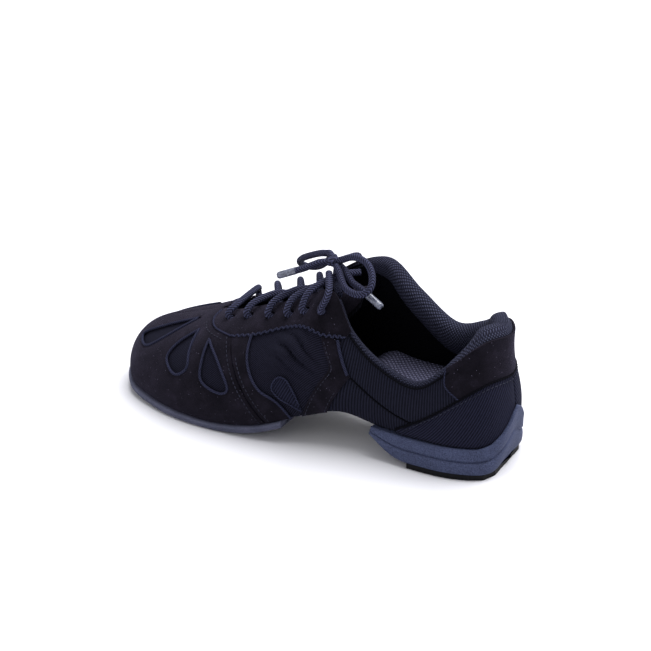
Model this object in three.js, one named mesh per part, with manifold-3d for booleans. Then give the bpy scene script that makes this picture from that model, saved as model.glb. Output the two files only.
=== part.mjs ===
// A lace-up dance sneaker with a split sole, worn on one foot. Millimetres, +Z up, heel at +X, toe at -X.
import * as THREE from 'three';
import { mergeVertices } from 'three/addons/utils/BufferGeometryUtils.js';
import Module from 'manifold-3d';

const wasm = await Module();
wasm.setup();

// Overall sizes of the upper. The stations below are drawn at the second set, and scale with the first.
const shoeLength = 268;
const shoeWidth = 96;
const shoeHeight = 100;
const drawn = { length: 268, width: 96, height: 100 };

// Walls and the gaps between them.
const suedeThickness = 1.2;
const fabricThickness = 1.0;
const liningThickness = 1.0;
const layerGap = 0.7;
const seamGap = 1.2;
const touchGap = 0.4;
const tongueFoam = 3;

// Sole, footbed and collar.
const outsoleThickness = 4.6;
const outsoleLip = 2.0;
const heelPlateThickness = 3.4;
const heelFlare = 2.6;
const boardThickness = 1.6;
const sockThickness = 3.0;
const heelPad = { thickness: 13, from: 112, to: 84 };
const boardLift = 0.5;
const footbed = { heelTo: 126, forefootFrom: 138 };

// Where each sole piece runs to, how far its edges stand out from the foot of the wall, and the heel's
// rolled nose. The underside of the heel spreads from flush at the back to its full spread along the sides.
const sole = {
  forefootFrom: 158, undercut: 1.5,
  wedgeTo: 104, wedgeTip: 2, noseAlong: 54, noseRadius: 25,
  plateTo: 78, plateInset: 0.5,
  spread: { back: -2, side: 4.5, from: 4, to: 32 },
};
const cupLow = [[-34, -0.08], [0, -0.08], [34, -0.08]];
const cupHigh = [[-34, 0.02], [-14, 0.11], [0, 0.28], [14, 0.11], [34, 0.02]];
const collarHalf = { width: 4.2, height: 6.5 };
const collarFrontHalf = { width: 2.4, height: 3.6 };

// Laces.
const laceDiameter = 4.2;
const laceClearance = 0.8;
const eyeletDiameter = laceDiameter + 2 * laceClearance;
const agletDiameter = 3.6;
const laceLift = { outer: 0.1, inner: -3.7 };
const laceArch = 1.5;

// Facet sizes.
const facet = 10;
const heelFacet = 8;
const sideFacet = 7;
const slabRows = 6;
const laceSides = 8;
const laceStep = 7;

// The upper as stations along the line where it meets the sole, one every 25 mm from the heel (run 0) past
// the outer side to the toe (run 300) and back along the inner side to run 600. Points are [along, side, up]:
// from the heel, towards the outer side, and above the floor. lean is how far the wall tips from level at
// the top.
const stationStep = 25;
const toeRun = 300;
const fullRun = 2 * toeRun;
const ridgeHalfRun = 50;
const heelStation = { foot: [1, 0, 19], top: [3, 0, 85], lean: 96, belly: 5 };
const toeStation = { foot: [267, -1, 11], top: [234, 0, 48], lean: 18, belly: 4 };
const outerStations = [
  { foot: [7, 21, 19], top: [13, 19, 84], lean: 94, belly: 5 },
  { foot: [26, 30, 19], top: [31, 26, 69], lean: 90, belly: 4 },
  { foot: [50, 31, 19], top: [51, 28, 54], lean: 84, belly: 4 },
  { foot: [75, 29, 19], top: [74, 28, 61], lean: 80, belly: 4 },
  { foot: [100, 32, 24], top: [94, 25, 75], lean: 72, belly: 4 },
  { foot: [126, 40, 18], top: [112, 17, 96], lean: 56, belly: 4 },
  { foot: [152, 46, 9], top: [136, 12, 84], lean: 44, belly: 4 },
  { foot: [178, 48, 5], top: [159, 11, 75], lean: 32, belly: 4 },
  { foot: [203, 47, 5], top: [182, 9, 66], lean: 20, belly: 4 },
  { foot: [228, 41, 6], top: [202, 0, 59], lean: 11, belly: 4 },
  { foot: [254, 27, 8], top: [219, 0, 53], lean: 15, belly: 4 },
];
const innerStations = [
  { foot: [7, -21, 19], top: [13, -19, 85], lean: 94, belly: 5 },
  { foot: [26, -29, 19], top: [31, -26, 75], lean: 90, belly: 4 },
  { foot: [50, -30, 20], top: [51, -28, 70], lean: 84, belly: 4 },
  { foot: [75, -28, 22], top: [74, -27, 87], lean: 80, belly: 4 },
  { foot: [100, -29, 27], top: [93, -24, 105], lean: 74, belly: 4 },
  { foot: [126, -35, 21], top: [112, -15, 103], lean: 56, belly: 4 },
  { foot: [152, -42, 11], top: [136, -12, 86], lean: 44, belly: 4 },
  { foot: [178, -46, 5], top: [159, -11, 76], lean: 32, belly: 4 },
  { foot: [204, -46, 5], top: [182, -9, 67], lean: 20, belly: 4 },
  { foot: [229, -42, 6], top: [202, 0, 59], lean: 11, belly: 4 },
  { foot: [254, -28, 8], top: [219, 0, 53], lean: 15, belly: 4 },
];
const stations = [heelStation, ...outerStations, toeStation, ...innerStations.reverse()];

// Layers, as distances from the outside face of the upper.
const overlay = [-suedeThickness, 0];
const baseOuter = -suedeThickness - layerGap;
const base = [baseOuter - fabricThickness, baseOuter];
const liningOuter = base[0] - layerGap;
const lining = [liningOuter - liningThickness, liningOuter];
const inside = lining[0] - layerGap;

// The middle of the finished shoe, which is where the origin stands.
const middle = { along: 133, side: 0.8 };

const place = ([along, side, up]) => new THREE.Vector3(
  (middle.along - along) * shoeLength / drawn.length,
  (middle.side - side) * shoeWidth / drawn.width,
  up * shoeHeight / drawn.height,
);

// Catmull-Rom through the closed ring of stations.
function blend(pick, run) {
  const x = run / stationStep;
  const i = Math.floor(x);
  const t = x - i;
  const at = (k) => pick(stations[(i + k + 2 * stations.length) % stations.length]);
  const [a, b, c, d] = [at(-1), at(0), at(1), at(2)];
  const mix = (p, q, r, s) =>
    0.5 * (2 * q + (r - p) * t + (2 * p - 5 * q + 4 * r - s) * t * t + (3 * q - p - 3 * r + s) * t * t * t);
  return Array.isArray(b) ? b.map((_, n) => mix(a[n], b[n], c[n], d[n])) : mix(a, b, c, d);
}

// How full the wall is between foot and top, as shares of its height and chord. Where the wall stands nearly
// upright, over the first few millimetres of reach, it bulges square to its foot line.
const bulge = { low: 0.42, reach: 0.45, dip: 0.38 };
const turn = { from: 6, over: 14 };

// The height of the wall on its station is a cubic from the foot (rise 0) to the top (rise 1).
function wallPoint(run, rise) {
  const foot = place(blend((s) => s.foot, run));
  const topRow = blend((s) => s.top, run);
  const home = ((run % fullRun) + fullRun) % fullRun;
  if (Math.abs(home - toeRun) <= ridgeHalfRun) topRow[1] = 0;
  const top = place(topRow);
  const lean = THREE.MathUtils.degToRad(blend((s) => s.lean, run));
  const belly = blend((s) => s.belly, run);
  const ahead = place(blend((s) => s.foot, run + 0.5));
  const behind = place(blend((s) => s.foot, run - 0.5));
  const away = new THREE.Vector3(ahead.y - behind.y, behind.x - ahead.x, 0).normalize().negate();
  const spread = new THREE.Vector3(foot.x - top.x, foot.y - top.y, 0);
  const reach = spread.length();
  const towards = spread.clone().divideScalar(Math.max(reach, 1e-6));
  const share = THREE.MathUtils.clamp((reach - turn.from) / turn.over, 0, 1);
  const out = away.clone().multiplyScalar(1 - share).addScaledVector(towards, share).normalize();
  const drop = Math.abs(top.z - foot.z);
  const chord = foot.distanceTo(top);
  const low = foot.clone().addScaledVector(away, belly);
  low.z += bulge.low * drop;
  const high = top.clone().addScaledVector(out, Math.cos(lean) * bulge.reach * chord);
  high.z -= Math.sin(lean) * bulge.dip * chord;
  const u = 1 - rise;
  return foot.multiplyScalar(u * u * u)
    .addScaledVector(low, 3 * rise * u * u)
    .addScaledVector(high, 3 * rise * rise * u)
    .addScaledVector(top, rise * rise * rise);
}

// Rises nearest the foot and the top that still have wall on both sides to take a normal from.
const nearFoot = 0.02;
const nearTop = 0.98;

function wallNormal(run, rise) {
  const h = THREE.MathUtils.clamp(rise, nearFoot, nearTop);
  const alongRun = wallPoint(run + 0.5, h).sub(wallPoint(run - 0.5, h));
  const upWall = wallPoint(run, h + 0.01).sub(wallPoint(run, h - 0.01));
  return upWall.cross(alongRun).normalize();
}

const wall = (run, rise, offset = 0) => wallPoint(run, rise).addScaledVector(wallNormal(run, rise), offset);

// A smooth line through a few [run, rise] pattern points, as t goes from 0 to 1.
function seam(points) {
  const curve = new THREE.SplineCurve(points.map(([run, rise]) => new THREE.Vector2(run, rise * 100)));
  return (t) => {
    const p = curve.getPointAt(t);
    return [p.x, p.y / 100];
  };
}

// An edge of a panel is one seam, or two that meet at a corner.
function edge(points) {
  if (!Array.isArray(points[0][0])) return seam(points);
  const [first, second] = points.map(seam);
  return (t) => (t < 0.5 ? first(2 * t) : second(2 * t - 1));
}

// Turns matching outer and inner points over one triangle list into a closed solid, with walls on open edges.
function closeSolid(outer, inner, triangles) {
  const key = (p) => [p.x, p.y, p.z].map((c) => Math.round(c * 500)).join(',');
  const seen = new Map();
  const remap = outer.map((p, n) => {
    const k = key(p);
    if (!seen.has(k)) seen.set(k, { id: seen.size, outer: p, inner: inner[n].clone(), count: 0 });
    const entry = seen.get(k);
    if (entry.count > 0) entry.inner.lerp(inner[n], 1 / (entry.count + 1));
    entry.count += 1;
    return entry.id;
  });
  const points = [...seen.values()];
  const faces = triangles.map((tri) => tri.map((n) => remap[n]))
    .filter(([a, b, c]) => a !== b && b !== c && c !== a);
  const edges = new Set(faces.flatMap(([a, b, c]) => [`${a},${b}`, `${b},${c}`, `${c},${a}`]));
  const half = points.length;
  const all = [];
  for (const [a, b, c] of faces) {
    all.push(a, b, c, c + half, b + half, a + half);
    for (const [p, q] of [[a, b], [b, c], [c, a]]) {
      if (!edges.has(`${q},${p}`)) all.push(q, p, p + half, q, p + half, q + half);
    }
  }
  const ordered = [...points.map((p) => p.outer), ...points.map((p) => p.inner)];
  const positions = ordered.flatMap((p) => p.toArray());
  return faceOut(bufferOf(positions, all));
}

function bufferOf(positions, index) {
  const geometry = new THREE.BufferGeometry();
  geometry.setAttribute('position', new THREE.Float32BufferAttribute(positions, 3));
  geometry.setIndex(index);
  return geometry;
}

// Flips a closed geometry whose faces point inwards.
function faceOut(geometry) {
  const p = geometry.attributes.position;
  const index = geometry.index.array;
  const corner = (n) => new THREE.Vector3().fromBufferAttribute(p, index[n]);
  let volume = 0;
  for (let n = 0; n < index.length; n += 3) volume += corner(n).dot(corner(n + 1).cross(corner(n + 2)));
  if (volume < 0) {
    for (let n = 0; n < index.length; n += 3) [index[n], index[n + 1]] = [index[n + 1], index[n]];
  }
  return geometry;
}

function gridTriangles(columns, rows) {
  const list = [];
  for (let i = 0; i < columns; i += 1) {
    for (let j = 0; j < rows; j += 1) {
      const a = i * (rows + 1) + j;
      const b = a + rows + 1;
      list.push([a, b, b + 1], [a, b + 1, a + 1]);
    }
  }
  return list;
}

// Number of facets that a line on the wall needs.
function facetCount(line, size) {
  const steps = 12;
  let length = 0;
  for (let n = 0; n < steps; n += 1) length += line(n / steps).distanceTo(line((n + 1) / steps));
  return Math.max(2, Math.ceil(length / size));
}

// A piece of the upper with four seams: lower and upper run forward, start and end run up (straight if not
// given).
// Half a seam gap is left all round.
function panel({ lower, upper, start, end }, layer, size = facet) {
  const low = edge(lower);
  const high = edge(upper);
  const line = (a, b) => (t) => [a[0] + (b[0] - a[0]) * t, a[1] + (b[1] - a[1]) * t];
  const first = start ? edge(start) : line(low(0), high(0));
  const last = end ? edge(end) : line(low(1), high(1));
  const pattern = (u, v) => [0, 1].map((k) => (1 - v) * low(u)[k] + v * high(u)[k]
    + (1 - u) * first(v)[k] + u * last(v)[k]
    - (1 - u) * ((1 - v) * low(0)[k] + v * high(0)[k]) - u * ((1 - v) * low(1)[k] + v * high(1)[k]));
  const columns = facetCount((t) => wall(...pattern(t, 0.5)), size);
  const rows = facetCount((t) => wall(...pattern(0.5, t)), size);
  const insetU = seamGap / 2 / (columns * size);
  const insetV = seamGap / 2 / (rows * size);
  const outer = [];
  const inner = [];
  for (let i = 0; i <= columns; i += 1) {
    for (let j = 0; j <= rows; j += 1) {
      const u = insetU + (1 - 2 * insetU) * i / columns;
      const v = insetV + (1 - 2 * insetV) * j / rows;
      const [run, rise] = pattern(u, v);
      outer.push(wall(run, rise, layer[1]));
      inner.push(wall(run, rise, layer[0]));
    }
  }
  return closeSolid(outer, inner, gridTriangles(columns, rows));
}

// A piece that runs round the toe from one side to the other, closed along the ridge in front of the throat.
// foot and rim are its lower and upper edges on the outer side, from its rear seam to the toe.
function toePiece(foot, rim, layer) {
  const low = seam(foot);
  const high = seam(rim);
  const columns = facetCount((t) => wall(...low(t)), facet);
  const rows = facetCount((t) => wall(toeRun - ridgeHalfRun, t), facet);
  const rearGap = seamGap / 2 / (columns * facet);
  const edgeGap = seamGap / 2 / (rows * facet);
  const outer = [];
  const inner = [];
  for (let i = -columns; i <= columns; i += 1) {
    const t = rearGap + (1 - rearGap) * (1 - Math.abs(i) / columns);
    const [lowRun, lowRise] = low(t);
    const [highRun, highRise] = high(t);
    const onRidge = highRise > 0.999;
    const span = onRidge ? 1 - edgeGap : 1 - 2 * edgeGap;
    for (let j = 0; j <= rows; j += 1) {
      const v = edgeGap + span * j / rows;
      const run = lowRun + (highRun - lowRun) * v;
      const rise = lowRise + (highRise - lowRise) * v;
      const where = i <= 0 ? run : fullRun - run;
      const point = wallPoint(where, rise);
      const normal = wallNormal(where, rise);
      if (onRidge && j === rows && run >= toeRun - ridgeHalfRun) normal.setY(0).normalize();
      outer.push(point.clone().addScaledVector(normal, layer[1]));
      inner.push(point.clone().addScaledVector(normal, layer[0]));
    }
  }
  return closeSolid(outer, inner, gridTriangles(2 * columns, rows));
}

// Joins and cuts.
function toManifold(geometry) {
  const bare = geometry.clone();
  bare.deleteAttribute('normal');
  bare.deleteAttribute('uv');
  const merged = mergeVertices(bare, 1e-4);
  return new wasm.Manifold(new wasm.Mesh({
    numProp: 3,
    vertProperties: new Float32Array(merged.attributes.position.array),
    triVerts: new Uint32Array(merged.index.array),
  }));
}

function fromManifold(solid) {
  const mesh = solid.getMesh();
  return bufferOf(Array.from(mesh.vertProperties), Array.from(mesh.triVerts));
}

const cut = (body, tools) => {
  const left = tools.reduce((rest, tool) => rest.subtract(toManifold(tool)), toManifold(body));
  return fromManifold(left);
};
const join = (a, b) => fromManifold(toManifold(a).add(toManifold(b)));

const group = new THREE.Group();
const colours = {
  suede: [0x24222b, 0.95],
  rib: [0x2c2d3a, 0.9],
  twill: [0x2a2a34, 0.9],
  knit: [0x30313f, 0.95],
  foam: [0x4f5566, 0.8],
  rubber: [0x1c1c22, 0.7],
  board: [0x5a544a, 0.9],
  lace: [0x343646, 0.85],
  clear: [0xc8ccd4, 0.2],
};

function add(name, geometry, look) {
  const [color, roughness] = colours[look];
  const mesh = new THREE.Mesh(geometry, new THREE.MeshStandardMaterial({ color, roughness, metalness: 0 }));
  mesh.name = name;
  group.add(mesh);
}

// Pattern lines of the outer side, as [run, rise] points. The inner side is the same with run turned round.
const counterRun = 38;
const splitRun = 132;
const quarterFront = [[121, 0.51], [133, 0.76], [126, 1]];
const archFront = [[splitRun, 0], [126, 0.26], [121, 0.51]];
const splitLine = [archFront, quarterFront];
const quarterSeam = [[counterRun, 0.18], [70, 0.23], [84, 0.29], [96, 0.36], [106, 0.43], [121, 0.51]];
const quarterTop = [[counterRun, 1], [80, 1], [126, 1]];
const archFoot = [[counterRun, 0], [80, 0], [splitRun, 0]];
const counterFoot = [[-counterRun, 0.02], [0, 0.02], [counterRun, 0.02]];
const counterTop = [[-counterRun, 0.97], [0, 0.97], [counterRun, 0.97]];
const underlayEdge = [[176, 0], [199, 1]];
const sidePanelFoot = [[splitRun, 0], [154, 0], underlayEdge[0]];
const sidePanelTop = [[126, 1], [162, 1], underlayEdge[1]];
const bandFront = [[168, 0], [207, 0.72]];
const bandRear = [[152, 0], [161, 0.15], [172, 0.27], [180, 0.4], [187, 0.56], [192, 0.73]];
const facingLower = [[130, 0.88], [144, 0.71], [164, 0.75], [174, 0.77], [192, 0.73], [207, 0.72]];
const facingUpper = [[127, 1], [150, 1], [200, 1], [243, 1]];
const facingStart = [[130, 0.88], [127, 1]];
const facingEnd = [[207, 0.72], [225, 0.79], [236, 0.87], [243, 1]];
const foxingFoot = [[0, 0], [45, 0], [88, 0]];
const foxingTop = [[0, 0.6], [22, 0.6], [42, 0.55], [56, 0.47], [70, 0.34], [88, 0.05]];
const patchLower = [[-44, 0.55], [-22, 0.6], [0, 0.6], [22, 0.6], [44, 0.55]];
const patchUpper = [[-53, 1], [0, 1], [53, 1]];
const patchFront = [[44, 0.55], [53, 0.78], [53, 1]];
const strapLower = [[splitRun, 0], [146, 0]];
const strapUpper = [[130, 0.68], [142, 0.67]];
const strapRear = [archFront, [[121, 0.51], [130, 0.68]]];
const strapFront = [[146, 0], [138, 0.28], [134, 0.48], [142, 0.67]];
const insertLower = [[146, 0.06], [149, 0.05], [152, 0.05]];
const insertUpper = [[158, 0.31], [161, 0.32], [164, 0.3]];
const collarFrontSpan = [[131, 1], [144, 1]];
const collarRun = 124;
const eyelets = [[222, 0.9], [207, 0.9], [190, 0.89], [175, 0.88], [162, 0.86], [149, 0.86]];
const teardrops = [
  {
    tip: [250, 0.84], blunt: [284, 0.5],
    upper: [[268, 0.76], [281, 0.62]], lower: [[260, 0.61], [270, 0.46]],
  },
  {
    tip: [237, 0.74], blunt: [234, 0.33],
    upper: [[245, 0.58], [246, 0.43]], lower: [[231, 0.56], [226, 0.41]],
  },
  {
    tip: [221, 0.68], blunt: [198, 0.25],
    upper: [[217, 0.5], [212, 0.33]], lower: [[205, 0.5], [193, 0.3]],
  },
];
const vampFoot = [bandFront[0], [235, 0], [toeRun, 0]];
const throatGap = 1.5;
const vampRim = [...facingEnd.map(([run, rise]) => [run + throatGap, rise]), [262, 1], [toeRun, 1]];

const mirror = (points) => points.map((p) => (Array.isArray(p[0]) ? mirror(p) : [-p[0], p[1]]));
const mirrorAll = (edges) => Object.fromEntries(
  Object.entries(edges).map(([name, points]) => [name, mirror(points)]),
);
const sides = [['outer', (edges) => edges], ['inner', mirrorAll]];

const plugReach = 1.5;

// A plug through the overlay in the shape of one teardrop.
function teardropPlug({ tip, blunt, upper, lower }, turn) {
  const a = seam(turn({ line: [tip, ...upper, blunt] }).line);
  const b = seam(turn({ line: [tip, ...lower, blunt] }).line);
  const steps = 7;
  const outer = [];
  const inner = [];
  for (let i = 0; i <= steps; i += 1) {
    for (let j = 0; j <= 2; j += 1) {
      const [p, q] = [a(i / steps), b(i / steps)];
      const at = [p[0] + (q[0] - p[0]) * j / 2, p[1] + (q[1] - p[1]) * j / 2];
      outer.push(wall(...at, plugReach));
      inner.push(wall(...at, overlay[0] - plugReach));
    }
  }
  return closeSolid(outer, inner, gridTriangles(steps, 2));
}

// A round plug through the overlay at an eyelet.
function eyeletPlug([run, rise]) {
  const height = suedeThickness + layerGap;
  const plug = new THREE.CylinderGeometry(eyeletDiameter / 2, eyeletDiameter / 2, height, 10);
  const axis = new THREE.Vector3(0, 1, 0);
  const turnTo = new THREE.Quaternion().setFromUnitVectors(axis, wallNormal(run, rise));
  const centre = wall(run, rise, -suedeThickness / 2);
  plug.applyQuaternion(turnTo);
  plug.translate(...centre);
  return plug;
}

function buildSide(side, turn) {
  const make = (name, edges, layer, look, size) => {
    add(`${name}_${side}`, panel(turn(edges), layer, size), look);
  };
  make('quarter', { lower: quarterSeam, upper: quarterTop, end: quarterFront }, base, 'rib');
  make('arch_panel', { lower: archFoot, upper: quarterSeam, end: archFront }, base, 'rib');
  make('side_panel', {
    lower: sidePanelFoot, upper: sidePanelTop, start: splitLine, end: underlayEdge,
  }, base, 'twill', sideFacet);
  make('side_band', {
    lower: [bandRear[0], bandFront[0]], upper: [bandRear[5], bandFront[1]], start: bandRear, end: bandFront,
  }, overlay, 'suede');
  make('arch_strap', {
    lower: strapLower, upper: strapUpper, start: strapRear, end: strapFront,
  }, overlay, 'suede');
  make('side_insert', { lower: insertLower, upper: insertUpper }, overlay, 'rib');
  make('foxing', { lower: foxingFoot, upper: foxingTop }, overlay, 'rib', heelFacet);
  const facing = panel(turn({
    lower: facingLower, upper: facingUpper, start: facingStart, end: facingEnd,
  }), overlay, sideFacet);
  const holes = turn({ eyelets }).eyelets.map(eyeletPlug);
  add(`facing_${side}`, cut(facing, holes), 'suede');
  const [from, to] = turn({ collarFrontSpan }).collarFrontSpan.map(([run]) => run).sort((a, b) => a - b);
  add(`collar_front_${side}`, sweepCollar(from, to, collarFrontHalf), 'knit');
}

// Foam roll inside the top edge, swept along the outer side from run from to run to, or along both sides.
function sweepCollar(from, to, half) {
  const around = 10;
  const steps = Math.ceil((to - from) / heelFacet);
  const outer = [];
  const depth = inside - touchGap - half.width;
  for (let i = 0; i <= steps; i += 1) {
    const run = from + (to - from) * i / steps;
    const normal = wallNormal(run, nearTop);
    const up = wallPoint(run, 1).sub(wallPoint(run, 0.9)).normalize();
    const centre = wallPoint(run, 1).addScaledVector(normal, depth).addScaledVector(up, -half.height / 2);
    for (let j = 0; j < around; j += 1) {
      const a = 2 * Math.PI * j / around;
      outer.push(centre.clone().addScaledVector(normal, half.width * Math.cos(a))
        .addScaledVector(up, half.height * Math.sin(a)));
    }
  }
  return loft(outer, steps, around);
}

// A closed solid through rings of points, with flat ends.
function loft(points, steps, around) {
  const index = [];
  for (let i = 0; i < steps; i += 1) {
    for (let j = 0; j < around; j += 1) {
      const a = i * around + j;
      const b = i * around + (j + 1) % around;
      index.push(a, b, b + around, a, b + around, a + around);
    }
  }
  for (let j = 1; j < around - 1; j += 1) {
    const last = steps * around;
    index.push(0, j + 1, j, last, last + j, last + j + 1);
  }
  return faceOut(bufferOf(points.flatMap((p) => p.toArray()), index));
}

// A flat-lying piece inside or under the wall, between run from and run to on the outer side and their
// mirror on the inner side. reach is how far its edge stands out from the foot of the wall, or a function of
// the run.
function slab({ from, to, top, bottom, topReach, bottomReach }) {
  const columns = Math.ceil((to - from) / facet);
  const rows = slabRows;
  const edge = (run, reach) => {
    const foot = wallPoint(run, 0);
    const beside = wallPoint(run + 0.5, 0).sub(wallPoint(run - 0.5, 0));
    const distance = typeof reach === 'function' ? reach(Math.min(run, fullRun - run)) : reach;
    return foot.addScaledVector(new THREE.Vector3(beside.y, -beside.x, 0).normalize().negate(), distance);
  };
  const upper = [];
  const lower = [];
  for (let i = 0; i <= columns; i += 1) {
    const run = from + (to - from) * i / columns;
    for (let j = 0; j <= rows; j += 1) {
      const point = (reach, height) => {
        const p = edge(run, reach).lerp(edge(fullRun - run, reach), j / rows);
        return p.setZ(height(p.z, p.x));
      };
      upper.push(point(topReach, top));
      lower.push(point(bottomReach, bottom));
    }
  }
  return closeSolid(upper, lower, gridTriangles(columns, rows));
}

function buildSoles() {
  const forefoot = slab({
    from: sole.forefootFrom, to: toeRun, topReach: outsoleLip, bottomReach: outsoleLip - sole.undercut,
    top: (z) => z - touchGap, bottom: (z) => Math.max(0, z - touchGap - outsoleThickness),
  });
  add('forefoot_outsole', forefoot, 'rubber');
  const { back, side, from: start, to: full } = sole.spread;
  const spread = (run) => THREE.MathUtils.lerp(back, side, THREE.MathUtils.smoothstep(run, start, full));
  const plateReach = (run) => spread(run) - sole.plateInset;
  const noseX = place([sole.noseAlong, 0, 0]).x;
  const rocker = (x, floor) => floor + Math.max(0, noseX - x) ** 2 / (2 * sole.noseRadius);
  const wedge = slab({
    from: 0, to: sole.wedgeTo, topReach: heelFlare, bottomReach: spread,
    top: (z) => z - touchGap,
    bottom: (z, x) => Math.min(z - sole.wedgeTip, rocker(x, heelPlateThickness + touchGap)),
  });
  const cup = panel({ lower: cupLow, upper: cupHigh }, [touchGap, heelFlare], heelFacet);
  add('heel_wedge', join(wedge, cup), 'foam');
  const plate = slab({
    from: 0, to: sole.plateTo, topReach: plateReach, bottomReach: plateReach,
    top: () => heelPlateThickness, bottom: () => 0,
  });
  add('heel_plate', plate, 'rubber');
}

function buildFootbed() {
  const floor = (lift) => (z) => z + lift;
  const padStart = place([heelPad.from, 0, 0]).x;
  const padEnd = place([heelPad.to, 0, 0]).x;
  const padThickness = heelPad.thickness * shoeHeight / drawn.height;
  const pad = (x) => padThickness * THREE.MathUtils.smoothstep(x, padStart, padEnd);
  const boardTop = boardLift + boardThickness;
  const sockBottom = boardTop + layerGap;
  const parts = [['heel', 0, footbed.heelTo], ['forefoot', footbed.forefootFrom, toeRun]];
  for (const [name, from, to] of parts) {
    add(`${name}_board`, slab({
      from, to, topReach: inside, bottomReach: inside, top: floor(boardTop), bottom: floor(boardLift),
    }), 'board');
    add(`${name}_sock`, slab({
      from, to, topReach: inside, bottomReach: inside,
      top: (z, x) => z + sockBottom + sockThickness + pad(x), bottom: floor(sockBottom),
    }), 'knit');
  }
}

function buildUpper() {
  const plugs = sides.flatMap(([, turn]) => teardrops.map((drop) => teardropPlug(drop, turn)));
  add('vamp', cut(toePiece(vampFoot, vampRim, overlay), plugs), 'suede');
  add('vamp_underlay', toePiece([underlayEdge[0], [235, 0], [toeRun, 0]],
    [underlayEdge[1], [240, 1], [toeRun, 1]], base), 'twill');
  add('forefoot_lining', toePiece([[splitRun + 1, 0], [200, 0], [toeRun, 0]],
    [[splitRun + 1, 1], [200, 1], [toeRun, 1]], lining), 'knit');
  for (const [side, turn] of sides) buildSide(side, turn);
  add('heel_patch', panel({
    lower: patchLower, upper: patchUpper, start: mirror(patchFront), end: patchFront,
  }, overlay, heelFacet), 'suede');
  add('heel_counter', panel({ lower: counterFoot, upper: counterTop }, base, heelFacet), 'board');
  const heelLine = [-120, -60, 0, 60, 120];
  add('heel_lining', panel({
    lower: heelLine.map((run) => [run, 0]), upper: heelLine.map((run) => [run, 1]),
  }, lining, heelFacet), 'knit');
  add('collar_padding', sweepCollar(-collarRun, collarRun, collarHalf), 'knit');
}

// The tongue: an arch that lies under the facings, from under the throat to the ankle. [along, up] of its
// spine.
// Half widths reach to the outside face of the wall, and heights to the middle of the laces.
const tongueSpine = [[208, 52], [184, 58], [160, 66], [137, 75.6], [115, 89.4], [98, 97.6]];
const tongueHalf = [15.6, 20.6, 23.6, 24.3, 19.1, 16.4];
const tongueDrop = [2, 6, 9, 10, 14, 14];

const tongueColumns = 14;
const tongueRows = 6;

function tongueLayer(from, to) {
  const spine = new THREE.CatmullRomCurve3(
    tongueSpine.map(([along, up], n) => new THREE.Vector3(along, up, tongueHalf[n])),
  );
  const drops = new THREE.SplineCurve(tongueDrop.map((drop, n) => new THREE.Vector2(n, drop)));
  const top = [];
  const bottom = [];
  const at = (u, t) => {
    const p = spine.getPoint(u);
    const point = place([p.x, (p.z + inside) * t, p.y - drops.getPoint(u).y * t * t]);
    point.z -= laceDiameter / 2;
    return point;
  };
  for (let i = 0; i <= tongueColumns; i += 1) {
    for (let j = 0; j <= tongueRows; j += 1) {
      const u = THREE.MathUtils.lerp(0.01, 0.99, i / tongueColumns);
      const t = 2 * j / tongueRows - 1;
      const forward = at(u + 0.01, t).sub(at(u - 0.01, t));
      const across = at(u, t + 0.02).sub(at(u, t - 0.02));
      const normal = forward.cross(across).normalize();
      if (normal.z < 0) normal.negate();
      top.push(at(u, t).addScaledVector(normal, -from));
      bottom.push(at(u, t).addScaledVector(normal, -to));
    }
  }
  return closeSolid(top, bottom, gridTriangles(tongueColumns, tongueRows));
}

function buildTongue() {
  add('tongue_face', tongueLayer(0, suedeThickness), 'suede');
  const foamTop = suedeThickness + touchGap;
  add('tongue_foam', tongueLayer(foamTop, foamTop + tongueFoam), 'foam');
  const liningTop = suedeThickness + 2 * touchGap + tongueFoam;
  add('tongue_lining', tongueLayer(liningTop, liningTop + liningThickness), 'knit');
}

// A tube of lace through route points.
function laceTube(points, diameter = laceDiameter) {
  const curve = new THREE.CatmullRomCurve3(points, false, 'centripetal');
  const section = new THREE.Shape();
  for (let n = 0; n < laceSides; n += 1) {
    const a = 2 * Math.PI * n / laceSides;
    const [x, y] = [diameter / 2 * Math.cos(a), diameter / 2 * Math.sin(a)];
    if (n === 0) section.moveTo(x, y);
    else section.lineTo(x, y);
  }
  const steps = Math.max(1, Math.round(curve.getLength() / laceStep));
  return new THREE.ExtrudeGeometry(section, { steps, extrudePath: curve, bevelEnabled: false });
}

// The bow, as [along, side, up] points. Each loop and each end starts at the knot.
const knotCentre = [120, 1, 107.5];
const knotHalf = [6, 5.5, 4.5];
const bow = {
  outer_loop: [
    [113, 1, 110], [108, 2, 112.5], [101, 4, 114], [94, 7, 113], [89, 11, 109], [87, 15.5, 103.5],
    [90, 18, 99], [97, 18, 97.5], [105, 14.5, 98.5], [110, 10, 101.5], [113.5, 6.5, 104.5],
  ],
  inner_loop: [
    [125.5, -5, 109], [134, -9, 106], [145, -15, 100], [154, -21, 94], [159, -27, 88],
    [156, -32, 84], [148, -31, 86], [139, -24, 93], [131, -15, 101], [124.5, -8.5, 105.5],
  ],
  outer_end: [[113, 1, 104], [109, 4, 102], [104, 7, 99], [98, 9, 97.5], [93, 10.5, 95.5]],
  inner_end: [[126.5, 3, 106.5], [130, 4.4, 105], [134, 5.6, 103], [138, 6.8, 101], [141, 7.6, 99.8]],
};
const agletLength = 13;

// The straight lace tip beyond the last point of an end.
function agletPoints(points, from) {
  const [last, before] = [points[points.length - 1], points[points.length - 2]].map(place);
  const ahead = last.clone().sub(before).normalize();
  return [from, from + agletLength].map((reach) => last.clone().addScaledVector(ahead, reach));
}

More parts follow.
